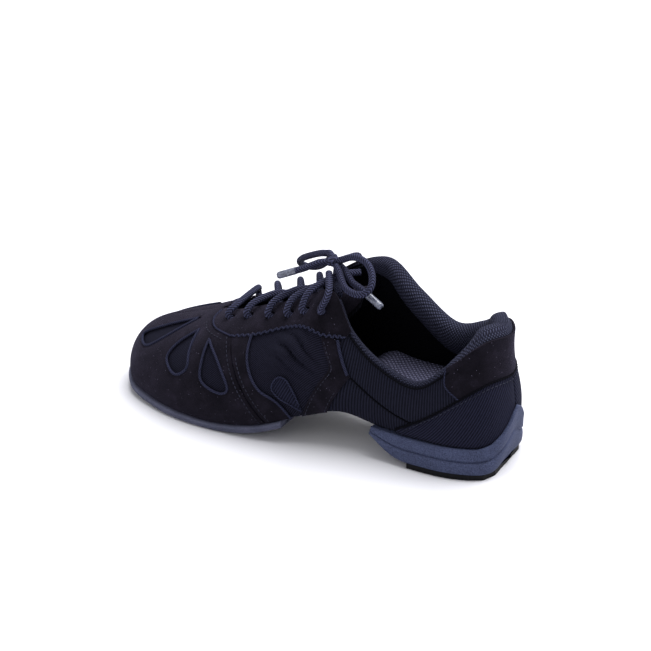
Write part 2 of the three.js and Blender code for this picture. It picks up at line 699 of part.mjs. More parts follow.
function buildLaces() {
  const near = (n) => eyelets[n];
  const far = (n) => [fullRun - eyelets[n][0], eyelets[n][1]];
  const radius = laceDiameter / 2;
  const above = radius + laceClearance;
  const rest = baseOuter + layerGap / 2;
  const under = inside - radius - laceClearance;
  const out = ([run, rise]) => [
    wall(run, rise, rest),
    wall(run, rise, above),
    wall(run, nearTop, above + laceArch),
  ];
  const crossing = { outer: radius + laceDiameter + laceLift.outer, inner: radius + laceLift.inner };
  add('lace_bar', laceTube([...out(near(0)), ...out(far(0)).reverse()]), 'lace');
  const last = eyelets.length - 1;
  for (let n = 1; n < last; n += 1) {
    for (const [side, mine, other] of [['outer', near, far], ['inner', far, near]]) {
      const start = out(mine(n));
      const tuck = wall(other(n + 1)[0], 1, under);
      const middle = start[2].clone().lerp(tuck, 0.5).setY(0);
      middle.z = wallPoint(mine(n)[0], 1).z + crossing[side];
      add(`lace_${side}_${n}`, laceTube([...start, middle, tuck]), 'lace');
    }
  }
  add('lace_outer_top', laceTube([...out(near(last)), place([119, 8.5, 103])]), 'lace');
  add('lace_inner_top', laceTube([...out(far(last)), place([119, -7.5, 105])]), 'lace');
  const knot = new THREE.SphereGeometry(1, 14, 8).scale(...knotHalf);
  knot.translate(...place(knotCentre));
  add('bow_knot', knot, 'lace');
  for (const [name, points] of Object.entries(bow)) add(`bow_${name}`, laceTube(points.map(place)), 'lace');
  for (const end of ['outer_end', 'inner_end']) {
    add(`aglet_${end.split('_')[0]}`, laceTube(agletPoints(bow[end], touchGap), agletDiameter), 'clear');
  }
}

buildSoles();
buildFootbed();
buildUpper();
buildTongue();
buildLaces();

export default group;
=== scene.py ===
import math
import bmesh
import bpy
import numpy as np
from mathutils import Matrix, Vector
from mathutils.geometry import delaunay_2d_cdt


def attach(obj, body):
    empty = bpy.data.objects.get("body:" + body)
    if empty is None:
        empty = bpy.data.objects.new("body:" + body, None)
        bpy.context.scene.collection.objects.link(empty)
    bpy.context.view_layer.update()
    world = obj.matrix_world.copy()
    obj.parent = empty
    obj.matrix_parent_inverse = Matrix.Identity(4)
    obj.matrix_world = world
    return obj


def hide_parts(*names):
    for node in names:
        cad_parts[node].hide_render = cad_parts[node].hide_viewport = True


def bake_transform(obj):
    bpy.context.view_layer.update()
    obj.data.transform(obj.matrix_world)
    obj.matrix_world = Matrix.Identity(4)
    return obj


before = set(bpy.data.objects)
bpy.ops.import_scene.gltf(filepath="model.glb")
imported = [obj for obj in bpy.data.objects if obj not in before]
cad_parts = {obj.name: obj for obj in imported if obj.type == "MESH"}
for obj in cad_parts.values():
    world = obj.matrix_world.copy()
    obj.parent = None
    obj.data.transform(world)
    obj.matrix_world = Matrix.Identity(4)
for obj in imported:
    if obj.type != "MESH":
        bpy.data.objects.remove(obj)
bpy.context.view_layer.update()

scene = bpy.context.scene
mm = 0.001

# camera, long lens from the outer front side, looking down a little
cameraSet = {"azimuth": 29.2, "elevation": 26.5, "roll": -0.6, "distance": 1.065, "lens": 95.3,
             "aim": (0.002, 0.0, 0.040), "shift": (0.0107, 0.0499)}


def makeCamera(s):
    az, el = math.radians(s["azimuth"]), math.radians(s["elevation"])
    back = Vector((math.sin(az) * math.cos(el), -math.cos(az) * math.cos(el), math.sin(el)))
    data = bpy.data.cameras.new("shoeCamera")
    data.lens = s["lens"]
    data.shift_x, data.shift_y = s["shift"]
    cam = bpy.data.objects.new("shoeCamera", data)
    cam.location = Vector(s["aim"]) + back * s["distance"]
    turn = back.to_track_quat("Z", "Y").to_matrix() @ Matrix.Rotation(math.radians(s["roll"]), 3, "Z")
    cam.rotation_euler = turn.to_euler()
    scene.collection.objects.link(cam)
    scene.camera = cam


makeCamera(cameraSet)
print("camera set")

# the shape of the upper: one row every 25 mm along the line where it meets the sole, from the heel past the
# outer side to the toe and back. a row is the foot point and the top point, each (along from the heel, side, up)
# in mm, then how far the wall leans there in degrees and how far it bellies out
lastShape = {
    "step": 25, "toe": 300, "full": 600, "ridge": 50, "middle": (133, 0.8),
    # how the wall leaves the foot and reaches the top: where it turns towards its own top, and its pulls
    "turnFrom": 6, "turnOver": 14, "footPull": 0.42, "topPull": 0.45, "topDrop": 0.38,
    "heelRow": (1, 0, 19, 3, 0, 85, 96, 5),
    "outerRows": [
        (7, 21, 19, 13, 19, 84, 94, 5), (26, 30, 19, 31, 26, 69, 90, 4), (50, 31, 19, 51, 28, 54, 84, 4),
        (75, 29, 19, 74, 28, 61, 80, 4), (100, 32, 24, 94, 25, 75, 72, 4), (126, 40, 18, 112, 17, 96, 56, 4),
        (152, 46, 9, 136, 12, 84, 44, 4), (178, 48, 5, 159, 11, 75, 32, 4), (203, 47, 5, 182, 9, 66, 20, 4),
        (228, 41, 6, 202, 0, 59, 11, 4), (254, 27, 8, 219, 0, 53, 15, 4)],
    "toeRow": (267, -1, 11, 234, 0, 48, 18, 4),
    "innerRows": [
        (254, -28, 8, 219, 0, 53, 15, 4), (229, -42, 6, 202, 0, 59, 11, 4), (204, -46, 5, 182, -9, 67, 20, 4),
        (178, -46, 5, 159, -11, 76, 32, 4), (152, -42, 11, 136, -12, 86, 44, 4),
        (126, -35, 21, 112, -15, 103, 56, 4), (100, -29, 27, 93, -24, 105, 74, 4),
        (75, -28, 22, 74, -27, 87, 80, 4), (50, -30, 20, 51, -28, 70, 84, 4),
        (26, -29, 19, 31, -26, 75, 90, 4), (7, -21, 19, 13, -19, 85, 94, 5)],
}
lastRows = np.array([lastShape["heelRow"], *lastShape["outerRows"], lastShape["toeRow"],
                     *lastShape["innerRows"]], float)
across = lastShape["full"]  # run all the way round
patternHeight = 62.0  # mm of wall for rise 0 to 1, near enough for spacing and weave
sides = {"Outer": 1, "Inner": -1}


def place(points):
    p = np.asarray(points, float)
    along, side = lastShape["middle"]
    return np.stack([along - p[..., 0], side - p[..., 1], p[..., 2]], -1) * mm


def spline(a, b, c, d, t):
    # Catmull-Rom between b and c
    return 0.5 * (2 * b + (c - a) * t + (2 * a - 5 * b + 4 * c - d) * t * t + (3 * b - a - 3 * c + d) * t ** 3)


def unit(v):
    return v / np.linalg.norm(v, axis=-1)[..., None]


def between(a, b, share):
    return a * (1 - share) + b * share


def ease(share):
    share = min(1.0, max(0.0, share))
    return share * share * (3 - 2 * share)


def lengthsAlong(line):
    return np.concatenate([[0], np.cumsum(np.linalg.norm(np.diff(line, axis=0), axis=1))])


def rowAt(run):
    x = np.asarray(run, float) / lastShape["step"]
    i = np.floor(x).astype(int)
    return spline(*(lastRows[(i + k) % len(lastRows)] for k in (-1, 0, 1, 2)), (x - i)[..., None])


def outwardAt(run):
    # level, and square to the line where the wall meets the sole
    step = place(rowAt(run + 0.5)[..., 0:3]) - place(rowAt(run - 0.5)[..., 0:3])
    return unit(np.stack([-step[..., 1], step[..., 0], 0 * step[..., 0]], -1))


def onToe(run):
    # here both sides of the wall meet in a ridge along the middle
    return np.abs(np.mod(run, across) - lastShape["toe"]) <= lastShape["ridge"]


def wallAt(run, rise):
    s = lastShape
    run, rise = np.asarray(run, float), np.asarray(rise, float)
    q = rowAt(run)
    foot, top = place(q[..., 0:3]), q[..., 3:6].copy()
    top[..., 1] = np.where(onToe(run), 0, top[..., 1])
    top = place(top)
    lean, belly = np.radians(q[..., 6])[..., None], q[..., 7][..., None] * mm
    away = outwardAt(run)
    spread = (foot - top) * (1, 1, 0)
    reach = np.linalg.norm(spread, axis=-1)[..., None]
    share = np.clip((reach - s["turnFrom"] * mm) / (s["turnOver"] * mm), 0, 1)
    out = unit(between(away, spread / np.maximum(reach, 1e-9), share))
    drop = np.abs(top[..., 2] - foot[..., 2])[..., None]
    chord = np.linalg.norm(foot - top, axis=-1)[..., None]
    up = np.array([0, 0, 1.0])
    low = foot + away * belly + up * s["footPull"] * drop
    high = top + out * np.cos(lean) * s["topPull"] * chord - up * np.sin(lean) * s["topDrop"] * chord
    h = rise[..., None]
    return foot * (1 - h) ** 3 + 3 * low * h * (1 - h) ** 2 + 3 * high * h * h * (1 - h) + top * h ** 3


def wallNormal(run, rise):
    run = np.asarray(run, float)
    h = np.clip(rise, 0.02, 0.98)
    n = np.cross(wallAt(run, h + 0.01) - wallAt(run, h - 0.01), wallAt(run + 0.5, h) - wallAt(run - 0.5, h))
    n[..., 1] = np.where(onToe(run) & (np.asarray(rise) > 0.9995), 0, n[..., 1])
    return unit(n)


def wall(run, rise, offset=0.0):
    return wallAt(run, rise) + wallNormal(run, rise) * (np.asarray(offset, float) * mm)[..., None]


def layOn(line, offset, side=1):
    # a (run, rise) line on the wall, mirrored for the inner side
    return wall(line[:, 0] * side, line[:, 1], offset)


def smoothLine(points, step=1.5, closed=False):
    # a curve through (run, rise) or 3-D points, evenly spaced
    p = np.asarray(points, float)
    ends = (p[-1], p[:2]) if closed else (2 * p[0] - p[1], 2 * p[-1] - p[-2])
    ring = np.vstack([ends[0], p, ends[1]])
    t = np.linspace(0, 1, 24, endpoint=False)[:, None]
    pieces = [spline(*ring[i:i + 4], t) for i in range(len(ring) - 3)]
    line = np.vstack([*pieces, p[0] if closed else p[-1]])
    lengths = lengthsAlong(line * (1, patternHeight) if p.shape[1] == 2 else line)
    n = max(2, int(round(lengths[-1] / step)))
    at = np.linspace(0, lengths[-1], n + 1)
    return np.stack([np.interp(at, lengths, line[:, k]) for k in range(p.shape[1])], -1)


def smoothPath(points, step):
    # the same for points in metres
    return smoothLine(np.asarray(points) / mm, step) * mm


# materials
def linear(code):
    parts = [int(code[i:i + 2], 16) / 255 for i in (1, 3, 5)]
    return [c / 12.92 if c <= 0.04045 else ((c + 0.055) / 1.055) ** 2.4 for c in parts] + [1.0]


def addNode(tree, kind, *inputs, stops=(), **settings):
    # inputs are constants or other nodes' outputs, in order or in one dictionary; stops colour a ramp
    node = tree.nodes.new("ShaderNode" + kind)
    for name, value in settings.items():
        setattr(node, name, value)
    named = inputs[0] if inputs and isinstance(inputs[0], dict) else dict(enumerate(inputs))
    for name, value in named.items():
        if hasattr(value, "is_linked"):
            tree.links.new(value, node.inputs[name])
        else:
            node.inputs[name].default_value = value
    for n, (position, code) in enumerate(stops):
        element = node.color_ramp.elements[n] if n < 2 else node.color_ramp.elements.new(position)
        element.position, element.color = position, linear(code)
    return node.outputs


def newMaterial(name):
    material = bpy.data.materials.new(name)
    material.use_nodes = True
    material.node_tree.nodes.clear()
    return material, material.node_tree


def plusShare(tree, value, other, share):
    part = addNode(tree, "Math", other, share, operation="MULTIPLY")[0]
    return addNode(tree, "Math", value, part, operation="ADD")[0]


def patternMap(tree):
    # the flat pattern of each piece, in metres
    split = addNode(tree, "SeparateXYZ", addNode(tree, "UVMap", uv_map="pattern")[0])
    return split["X"], split["Y"]


def waveOf(tree, value, pitch, phase=0.0):
    # 0 to 1 ripple every pitch mm
    turns = addNode(tree, "Math", value, 2 * math.pi / (pitch * mm), phase, operation="MULTIPLY_ADD")[0]
    ripple = addNode(tree, "Math", turns, operation="SINE")[0]
    return addNode(tree, "Math", ripple, 0.5, 0.5, operation="MULTIPLY_ADD")[0]


def withGrain(tree, pattern, share, size, grainShare, stops, detail=3.0, rough=0.5):
    # a pattern with grain of a real size in mm laid over it, then coloured; gives the colour and the grain
    coords = addNode(tree, "TexCoord")["Object"]
    grain = addNode(tree, "TexNoise", {"Vector": coords, "Scale": 1 / (size * mm), "Detail": detail,
                                       "Roughness": rough})[0]
    base = addNode(tree, "Math", pattern, share, operation="MULTIPLY")[0]
    return addNode(tree, "ValToRGB", plusShare(tree, base, grain, grainShare), stops=stops)[0], grain


def finishMaterial(tree, colour, height, depth, roughness, sheen=0.0, sheenCode="#6f7390", specular=0.12,
                   extra=None):
    # depth is the relief in mm
    bump = addNode(tree, "Bump", {"Strength": 1.0, "Distance": depth * mm, "Height": height})[0]
    shader = addNode(tree, "BsdfPrincipled", {
        "Base Color": colour, "Normal": bump, "Roughness": roughness, "Specular IOR Level": specular,
        "Sheen Weight": sheen, "Sheen Roughness": 0.55, "Sheen Tint": linear(sheenCode), **(extra or {})})
    addNode(tree, "OutputMaterial", {"Surface": shader[0]})


suedeSet = {"dark": "#09080b", "mid": "#110f14", "light": "#1e1b24", "fleck": "#686478",
            "nap": 0.45, "patch": 9.0, "fleckPitch": 2.1, "fleckSize": 0.085, "fleckShare": 0.5,
            "relief": 0.35, "sheen": 0.24, "sheenTint": "#7d7896"}


def suedeMaterial(s):
    # split leather, buffed to a nap: matt, with cloudy shading where it was brushed and a few bright flecks.
    # the nap and the flecks are drawn coarser than they are, so that they show
    material, tree = newMaterial("buffedSuede")
    coords = addNode(tree, "TexCoord")["Object"]
    patches = addNode(tree, "TexNoise", {"Vector": coords, "Scale": 1 / (s["patch"] * mm), "Detail": 3.0,
                                         "Roughness": 0.6})[0]
    stops = [(0.36, s["dark"]), (0.52, s["mid"]), (0.7, s["light"])]
    colour, nap = withGrain(tree, patches, 0.6, s["nap"], 0.4, stops, 4.0, 0.7)
    cells = addNode(tree, "TexVoronoi", {"Vector": coords, "Scale": 1 / (s["fleckPitch"] * mm)})
    dot = addNode(tree, "Math", cells["Distance"], s["fleckSize"], operation="LESS_THAN")[0]
    rare = addNode(tree, "SeparateColor", cells["Color"])[0]
    chosen = addNode(tree, "Math", rare, s["fleckShare"], operation="GREATER_THAN")[0]
    fleck = addNode(tree, "Math", dot, chosen, operation="MULTIPLY")[0]
    # the colour sockets of a mix are its sixth and seventh
    mix = addNode(tree, "Mix", {"Factor": fleck, 6: colour, 7: linear(s["fleck"])}, data_type="RGBA")
    finishMaterial(tree, mix[2], nap, s["relief"], 0.9, s["sheen"], s["sheenTint"], 0.02)
    return material


def ribbedMaterial(name, dark, light, pitch, slant=0.0, relief=0.35):
    # warp-knitted rib: fine raised cords, coloured lighter on the cords as painted light and darker in the valley
    # between as painted shade
    material, tree = newMaterial(name)
    x, y = patternMap(tree)
    rib = waveOf(tree, plusShare(tree, x, y, slant), pitch)
    # the colour follows the rib height: painted shade in the valleys, painted light on the cords
    colour, _ = withGrain(tree, rib, 0.7, 1.4, 0.5, [(0.1, dark), (0.9, light)])
    finishMaterial(tree, colour, rib, relief, 0.85, 0.05, specular=0.03)
    return material


def knitMaterial(name, dark, light, pitch, relief=0.4, sheen=0.05):
    # air mesh knit: staggered loops, coloured lighter on the loops as painted light and darker in the dips
    # between as painted shade
    material, tree = newMaterial(name)
    x, y = patternMap(tree)
    slants = [addNode(tree, "Math", x, y, operation=way)[0] for way in ("ADD", "SUBTRACT")]
    loops = addNode(tree, "Math", *[waveOf(tree, slant, pitch) for slant in slants], operation="MULTIPLY")[0]
    # the colour follows the loop height: painted shade in the dips, painted light on the loops
    colour, _ = withGrain(tree, loops, 0.8, 0.9, 0.35, [(0.1, dark), (0.8, light)])
    finishMaterial(tree, colour, loops, relief, 0.85, sheen, specular=0.04)
    return material


# dark is the painted shade where the strands dive under, light the painted highlight on their crowns
braidSet = {"dark": "#0b0b12", "light": "#454762", "pitch": 3.4, "strands": 4, "round": 13.2, "relief": 0.45,
            "slant": 0.75, "crown": 0.45}


def braidMaterial(s):
    # round braided polyester: strands cross in chevrons, coloured bright on their crowns as painted highlight and
    # dark where they dive under as painted shade
    material, tree = newMaterial("braidedPolyesterLace")
    x, y = patternMap(tree)
    turn = addNode(tree, "Math", x, s["strands"] * s["pitch"] / s["round"], operation="MULTIPLY")[0]
    # the fold of a triangle wave makes the chevron
    fold = addNode(tree, "Math", turn, s["pitch"] * mm, operation="PINGPONG")[0]
    strand = waveOf(tree, plusShare(tree, y, fold, s["slant"]), s["pitch"] / 2)
    valley = waveOf(tree, turn, s["pitch"], math.pi / 2)
    crown = addNode(tree, "Math", valley, s["crown"], 1 - s["crown"], operation="MULTIPLY_ADD")[0]
    height = addNode(tree, "Math", strand, crown, operation="MULTIPLY")[0]
    # the colour follows the strand height: painted shade where strands dive under, painted highlight on the
    # crowns
    colour, _ = withGrain(tree, height, 0.8, 1.1, 0.3, [(0.12, s["dark"]), (0.9, s["light"])])
    finishMaterial(tree, colour, height, s["relief"], 0.75, 0.05, specular=0.05)
    return material


def mouldedMaterial(name, dark, light, grainSize, roughness, relief=0.15, fine=0.35):
    # moulded foam or rubber: even colour, fine grain from the mould
    material, tree = newMaterial(name)
    coords = addNode(tree, "TexCoord")["Object"]
    broad = addNode(tree, "TexNoise", {"Vector": coords, "Scale": 1 / (22.0 * mm), "Detail": 2.0})[0]
    colour, grain = withGrain(tree, broad, 1 - fine, grainSize, fine, [(0.3, dark), (0.7, light)])
    finishMaterial(tree, colour, grain, relief, roughness)
    return material


def clearMaterial():
    # clear acetate film, shrunk onto the lace end: glossy, with the lace grey inside
    material, tree = newMaterial("clearAcetateTip")
    coords = addNode(tree, "TexCoord")["Object"]
    haze = addNode(tree, "TexNoise", {"Vector": coords, "Scale": 1 / (1.5 * mm), "Detail": 2.0})[0]
    colour = addNode(tree, "ValToRGB", haze, stops=[(0.3, "#4a4d5e"), (0.7, "#858a9e")])[0]
    finishMaterial(tree, colour, haze, 0.03, 0.12,
                   extra={"Coat Weight": 0.6, "Transmission Weight": 0.35, "IOR": 1.49})
    return material


# in the ribbed, knitted and braided looks the first colour is painted shade in the dips and the second painted
# light on the raised parts
looks = {
    "suede": suedeMaterial(suedeSet),
    "rib": ribbedMaterial("ribbedStretchFabric", "#08080d", "#1e1f2c", 1.9),
    "foxRib": ribbedMaterial("diagonalRibFabric", "#08080e", "#222334", 2.1, slant=0.75),
    "twill": ribbedMaterial("cottonTwill", "#08080d", "#1e1e2b", 1.7, slant=1.1, relief=0.25),
    "mesh": knitMaterial("knittedAirMesh", "#0b0b12", "#414358", 2.3),
    "lining": knitMaterial("lightKnitLining", "#030306", "#0c0c13", 2.0, relief=0.2, sheen=0.02),
    "sock": knitMaterial("basketWeaveSock", "#20202e", "#66667f", 3.0, relief=0.6),
    "cordEdge": ribbedMaterial("wrappedEdgeCord", "#0f0f17", "#2f3146", 1.2, slant=0.6, relief=0.2),
    "lace": braidMaterial(braidSet),
    "thread": mouldedMaterial("bondedSewingThread", "#1b1c27", "#323444", 0.5, 0.6),
    "foam": mouldedMaterial("mouldedEvaFoam", "#262b3e", "#4b5270", 0.7, 0.7, 0.3, fine=0.75),
    "soleRubber": mouldedMaterial("greyCrepeRubber", "#3d3f50", "#5a5c70", 1.2, 0.7),
    "heelRubber": mouldedMaterial("blackHeelRubber", "#070709", "#101015", 0.9, 0.55),
    "board": mouldedMaterial("pressedFibreBoard", "#2a2722", "#3c3932", 1.2, 0.9),
    "clear": clearMaterial(),
}
print("materials", len(looks))


def nodeOf(name):
    # the solid a piece is named after
    return "".join("_" + c.lower() if c.isupper() else c for c in name)


def settle(piece, look, body, nodes=()):
    # finish, the solids it stands for, and what it moves with; "arch" pieces are baked in place and attached to
    # neither half
    piece.data.materials.clear()
    piece.data.materials.append(looks[look])
    if nodes:
        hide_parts(*nodes)
    if body == "arch":
        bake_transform(piece)
    else:
        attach(piece, body)
    return piece


def meshPiece(name, bm, sharp=50):
    mesh = bpy.data.meshes.new(name)
    bm.to_mesh(mesh)
    bm.free()
    mesh.shade_smooth()
    mesh.set_sharp_from_angle(angle=math.radians(sharp))
    piece = bpy.data.objects.new(name, mesh)
    scene.collection.objects.link(piece)
    return piece


def gridMesh(columns, rows):
    # a grid one unit wide with its pattern map, and the column and row of each vertex
    bm = bmesh.new()
    uv = bm.loops.layers.uv.new("pattern")
    bmesh.ops.create_grid(bm, x_segments=columns, y_segments=rows, size=0.5)
    spots = {v: (int(round((v.co.x + 0.5) * columns)), int(round((v.co.y + 0.5) * rows))) for v in bm.verts}
    return bm, uv, spots


def liftCopy(bm, height):
    # doubles the faces upwards with walls between; gives the new vertices
    lifted = bmesh.ops.extrude_face_region(bm, geom=bm.faces[:], use_keep_orig=True)["geom"]
    upper = {v for v in lifted if isinstance(v, bmesh.types.BMVert)}
    bmesh.ops.translate(bm, verts=list(upper), vec=(0, 0, height))
    return upper


def closeUp(name, bm, sharp=50, corners=0):
    # fills open ends of up to that many corners and turns all faces outwards
    if corners:
        bmesh.ops.holes_fill(bm, edges=[e for e in bm.edges if e.is_boundary], sides=corners)
    bmesh.ops.recalc_face_normals(bm, faces=bm.faces[:])
    return meshPiece(name, bm, sharp)


def tube(name, line, width, around=10, closed=False, tip=1.0):
    # a grid rolled up round the line, all in metres; tip narrows both ends
    line = np.asarray(line, float)
    n = len(line)
    ahead = np.roll(line, -1, 0) - np.roll(line, 1, 0)
    if not closed:
        ahead[0], ahead[-1] = line[1] - line[0], line[-1] - line[-2]
    ahead = unit(ahead)
    side = np.cross(ahead[0], (0, 0, 1.0))
    side = unit(side) if np.linalg.norm(side) > 1e-3 else np.array([1.0, 0, 0])
    sideways = [side]
    for t in ahead[1:]:
        side = unit(side - t * (side @ t))
        sideways.append(side)
    ups = np.cross(ahead, sideways)
    lengths = lengthsAlong(np.vstack([line, line[0]]) if closed else line)
    radius = np.full(n, width / 2)
    radius[[0, -1]] *= tip
    bm, uv, spots = gridMesh(n if closed else n - 1, around)
    for f in bm.faces:
        for loop in f.loops:
            i, j = spots[loop.vert]
            loop[uv].uv = (j / around * math.pi * float(radius.mean()) * 2, lengths[i])
    for v, (i, j) in spots.items():
        a = 2 * math.pi * j / around
        k = i % n
        v.co = line[k] + radius[k] * (math.cos(a) * sideways[k] + math.sin(a) * ups[k])
    bmesh.ops.remove_doubles(bm, verts=bm.verts[:], dist=1e-7)
    return closeUp(name, bm, 70, 0 if closed else around + 1)


def insideOf(points, loop):
    a, b = loop, np.roll(loop, -1, 0)
    x, y = points[:, 0, None], points[:, 1, None]
    crosses = (a[:, 1] > y) != (b[:, 1] > y)
    tall = np.where(b[:, 1] == a[:, 1], 1e-12, b[:, 1] - a[:, 1])
    at = a[:, 0] + (y - a[:, 1]) * (b[:, 0] - a[:, 0]) / tall
    return (crosses & (x < at)).sum(1) % 2 == 1


def distanceTo(points, loop):
    a = loop
    d = np.roll(loop, -1, 0) - a
    length2 = np.maximum((d * d).sum(1), 1e-12)
    best = np.full(len(points), 1e9)
    for start in range(0, len(points), 2000):
        p = points[start:start + 2000, None, :] - a
        t = np.clip((p * d).sum(2) / length2, 0, 1)
        q = p - d * t[..., None]
        best[start:start + 2000] = np.sqrt((q * q).sum(2)).min(1)
    return best


def cutSheet(name, outline, s, holes=(), side=1, relief=None, ridge=None):
    # outline and holes are closed (run, rise) loops; s gives outer face, thickness, mesh size, round edge, puff
    scale = np.array([1, patternHeight])
    loops = [np.asarray(loop, float) * scale for loop in (outline, *holes)]
    low, top = loops[0].min(0), loops[0].max(0)
    step = s["mesh"]

    def within(spots):
        cut = [insideOf(spots, loop) for loop in loops[1:]]
        return insideOf(spots, loops[0]) & ~np.any(cut, axis=0)

    def fromEdge(spots):
        return np.min([distanceTo(spots, loop) for loop in loops], 0)

    def onRidge(part):
        return ridge is not None and all(v.co.y > patternHeight * 0.9995
                                         and ridge[0] - 0.1 < v.co.x < ridge[1] + 0.1 for v in part.verts)

    xs = np.arange(low[0] + step / 2, top[0], step)
    ys = np.arange(low[1] + step / 2, top[1], step * 0.87)
    fill = np.array([(x + (step / 2 if k % 2 else 0), y) for k, y in enumerate(ys) for x in xs]).reshape(-1, 2)
    fill = fill[within(fill) & (fromEdge(fill) > 0.62 * step)]
    edges = []
    for loop in loops:
        first, n = len(edges), len(loop)
        edges += [(first + k, first + (k + 1) % n) for k in range(n)]
    points = [Vector(p) for p in np.vstack([*loops, fill])]
    verts, _, faces, *_ = delaunay_2d_cdt(points, edges, [], 0, 1e-4)
    flat = np.array([(v.x, v.y) for v in verts])
    bm = bmesh.new()
    made = [bm.verts.new((x, y, -s["thick"])) for x, y in flat]
    for k in np.nonzero(within(flat[np.array(faces)].mean(1)))[0]:
        bm.faces.new([made[i] for i in faces[k]])
    bmesh.ops.delete(bm, geom=[v for v in bm.verts if not v.link_faces], context="VERTS")
    upper = liftCopy(bm, s["thick"])
    rim = [e for e in bm.edges if upper.issuperset(e.verts) and not onRidge(e)
           and not all(upper.issuperset(f.verts) for f in e.link_faces)]
    if s["round"]:
        bmesh.ops.bevel(bm, geom=rim, offset=s["round"], segments=2, profile=0.5, affect="EDGES", material=-1,
                        clamp_overlap=True)
    bmesh.ops.delete(bm, geom=[f for f in bm.faces if onRidge(f)], context="FACES")
    co = np.array([v.co for v in bm.verts])
    away = fromEdge(co[:, :2])
    depth = (co[:, 2] + s["thick"]) / s["thick"]
    swell = s["puff"] * (1 - np.exp(-away / 4.0))
    if relief is not None:
        swell = swell + relief(co[:, 0], co[:, 1] / patternHeight, away)
    laid = layOn(co[:, :2] / scale, s["outer"] + co[:, 2] + swell * depth, side)
    uv = bm.loops.layers.uv.new("pattern")
    for f in bm.faces:
        for loop in f.loops:
            loop[uv].uv = loop.vert.co.xy * mm
    for v, p in zip(bm.verts, laid):
        v.co = p
    bmesh.ops.remove_doubles(bm, verts=bm.verts[:], dist=2e-5)
    return closeUp(name, bm)


def closedLoop(*seams):
    # one outline out of seams that follow each other round the piece
    lines = [smoothLine(seam) for seam in seams]
    return np.vstack([line[:-1] for line in lines])


def straight(*points):
    # an edge with corners only at its ends
    p = np.asarray(points, float)
    n = max(2, int(np.linalg.norm((p[-1] - p[0]) * (1, patternHeight)) / 2))
    return p[0] + (p[-1] - p[0]) * np.linspace(0, 1, n + 1)[:, None]


def stitchRow(name, rows, s, side=1):
    # short capsules of thread lying in rows on the wall; rows are pattern lines
    bm = bmesh.new()
    bm.loops.layers.uv.new("pattern")
    thick = s["thread"] * mm
    for points, offset in rows:
        line = layOn(smoothLine(points, 0.5), offset, side)
        lengths = lengthsAlong(line) / mm
        for start in np.arange(0.8, lengths[-1] - s["stitch"], s["pitch"]):
            a, b = (Vector([np.interp(at, lengths, line[:, k]) for k in range(3)])
                    for at in (start, start + s["stitch"]))
            turn = (b - a).to_track_quat("Z", "Y").to_matrix().to_4x4()
            size = Matrix.Diagonal((thick / 2, thick / 2, (b - a).length / 2 + thick / 4, 1))
            bmesh.ops.create_uvsphere(bm, u_segments=6, v_segments=4, radius=1,
                                      matrix=Matrix.Translation((a + b) / 2) @ turn @ size)
    return meshPiece(name, bm, 80)


# laces and bow: one round braid, threaded through six pairs of eyelets
laceSet = {"diameter": 4.2, "around": 14, "step": 1.2, "above": 2.9, "peak": 4.4, "through": -1.6, "under": -8.1,
           "outerLift": 6.4, "innerLift": -1.6, "inTip": 11.0, "dive": 0.7, "knot": (119.5, 1, 107)}
eyelets = [(222, 0.9), (207, 0.9), (190, 0.89), (175, 0.88), (162, 0.86), (149, 0.86)]
bowPoints = {
    "outer_loop": [(113, 1, 110), (108, 2, 112.5), (101, 4, 114), (94, 7, 113), (89, 11, 109), (87, 15.5, 103.5),
                   (90, 18, 99), (97, 18, 97.5), (105, 14.5, 98.5), (110, 10, 101.5), (113.5, 6.5, 104.5)],
    "inner_loop": [(125.5, -5, 109), (134, -9, 106), (145, -15, 100), (154, -21, 94), (159, -27, 88),
                   (156, -32, 84), (148, -31, 86), (139, -24, 93), (131, -15, 101), (124.5, -8.5, 105.5)],
    "outer_end": [(113, 1, 104), (109, 4, 102), (104, 7, 99), (98, 9, 97.5), (93, 10.5, 95.5)],
    "inner_end": [(126.5, 3, 106.5), (130, 4.4, 105), (134, 5.6, 103), (138, 6.8, 101), (141, 7.6, 99.8)],
}


def makeLaces(s):
    width = s["diameter"] * mm
    farSide = [(across - run, rise) for run, rise in eyelets]

    def rising(spot):
        run, rise = spot
        return [wall(run, rise, s["through"]), wall(run, rise, s["above"]), wall(run, 0.98, s["peak"])]

    routes = {"lace_bar": [*rising(eyelets[0]), *rising(farSide[0])[::-1]]}
    last = len(eyelets) - 1
    for n in range(1, last):
        for sideName, mine, other in (("outer", eyelets, farSide), ("inner", farSide, eyelets)):
            start = rising(mine[n])
            tuck = wall(other[n + 1][0], 1, s["under"])
            high = (start[2] + tuck) / 2
            high[1] = 0
            high[2] = wallAt(mine[n][0], 1)[2] + s[sideName + "Lift"] * mm
            routes[f"lace_{sideName}_{n}"] = [*start, high, tuck]
    routes["lace_outer_top"] = [*rising(eyelets[last]), place((119, 8.5, 103))]
    routes["lace_inner_top"] = [*rising(farSide[last]), place((119, -7.5, 105))]
    for name, points in routes.items():
        piece = tube(name.title().replace("_", ""), smoothPath(points, s["step"]), width, s["around"])
        settle(piece, "lace", "arch", [name])
    heart = place(s["knot"])
    for name, points in bowPoints.items():
        line = smoothPath(place(points), s["step"])
        if name in aglets:
            # starts deep in the knot and runs on inside the clear tip
            core = heart + np.array([(1.6, 0, 1), (0, 1.2, 0)]) * mm
            tipLine = line[-1] + unit(line[-1] - line[-2]) * (np.linspace(1.2, s["inTip"], 9) * mm)[:, None]
            line = np.vstack([core, line[1::3], line[-1:], tipLine[1::3]])
        else:
            # both ends of a loop dive into the knot
            into = [between(line[n], heart, s["dive"]) for n in (0, -1)]
            line = np.vstack([into[0], line[:-1:3], line[-1:], into[1]])
        line = smoothPath(line, s["step"])
        piece = tube("bow" + name.title().replace("_", ""), line, width, s["around"], tip=0.7)
        settle(piece, "lace", "forefoot_half", ["bow_" + name])


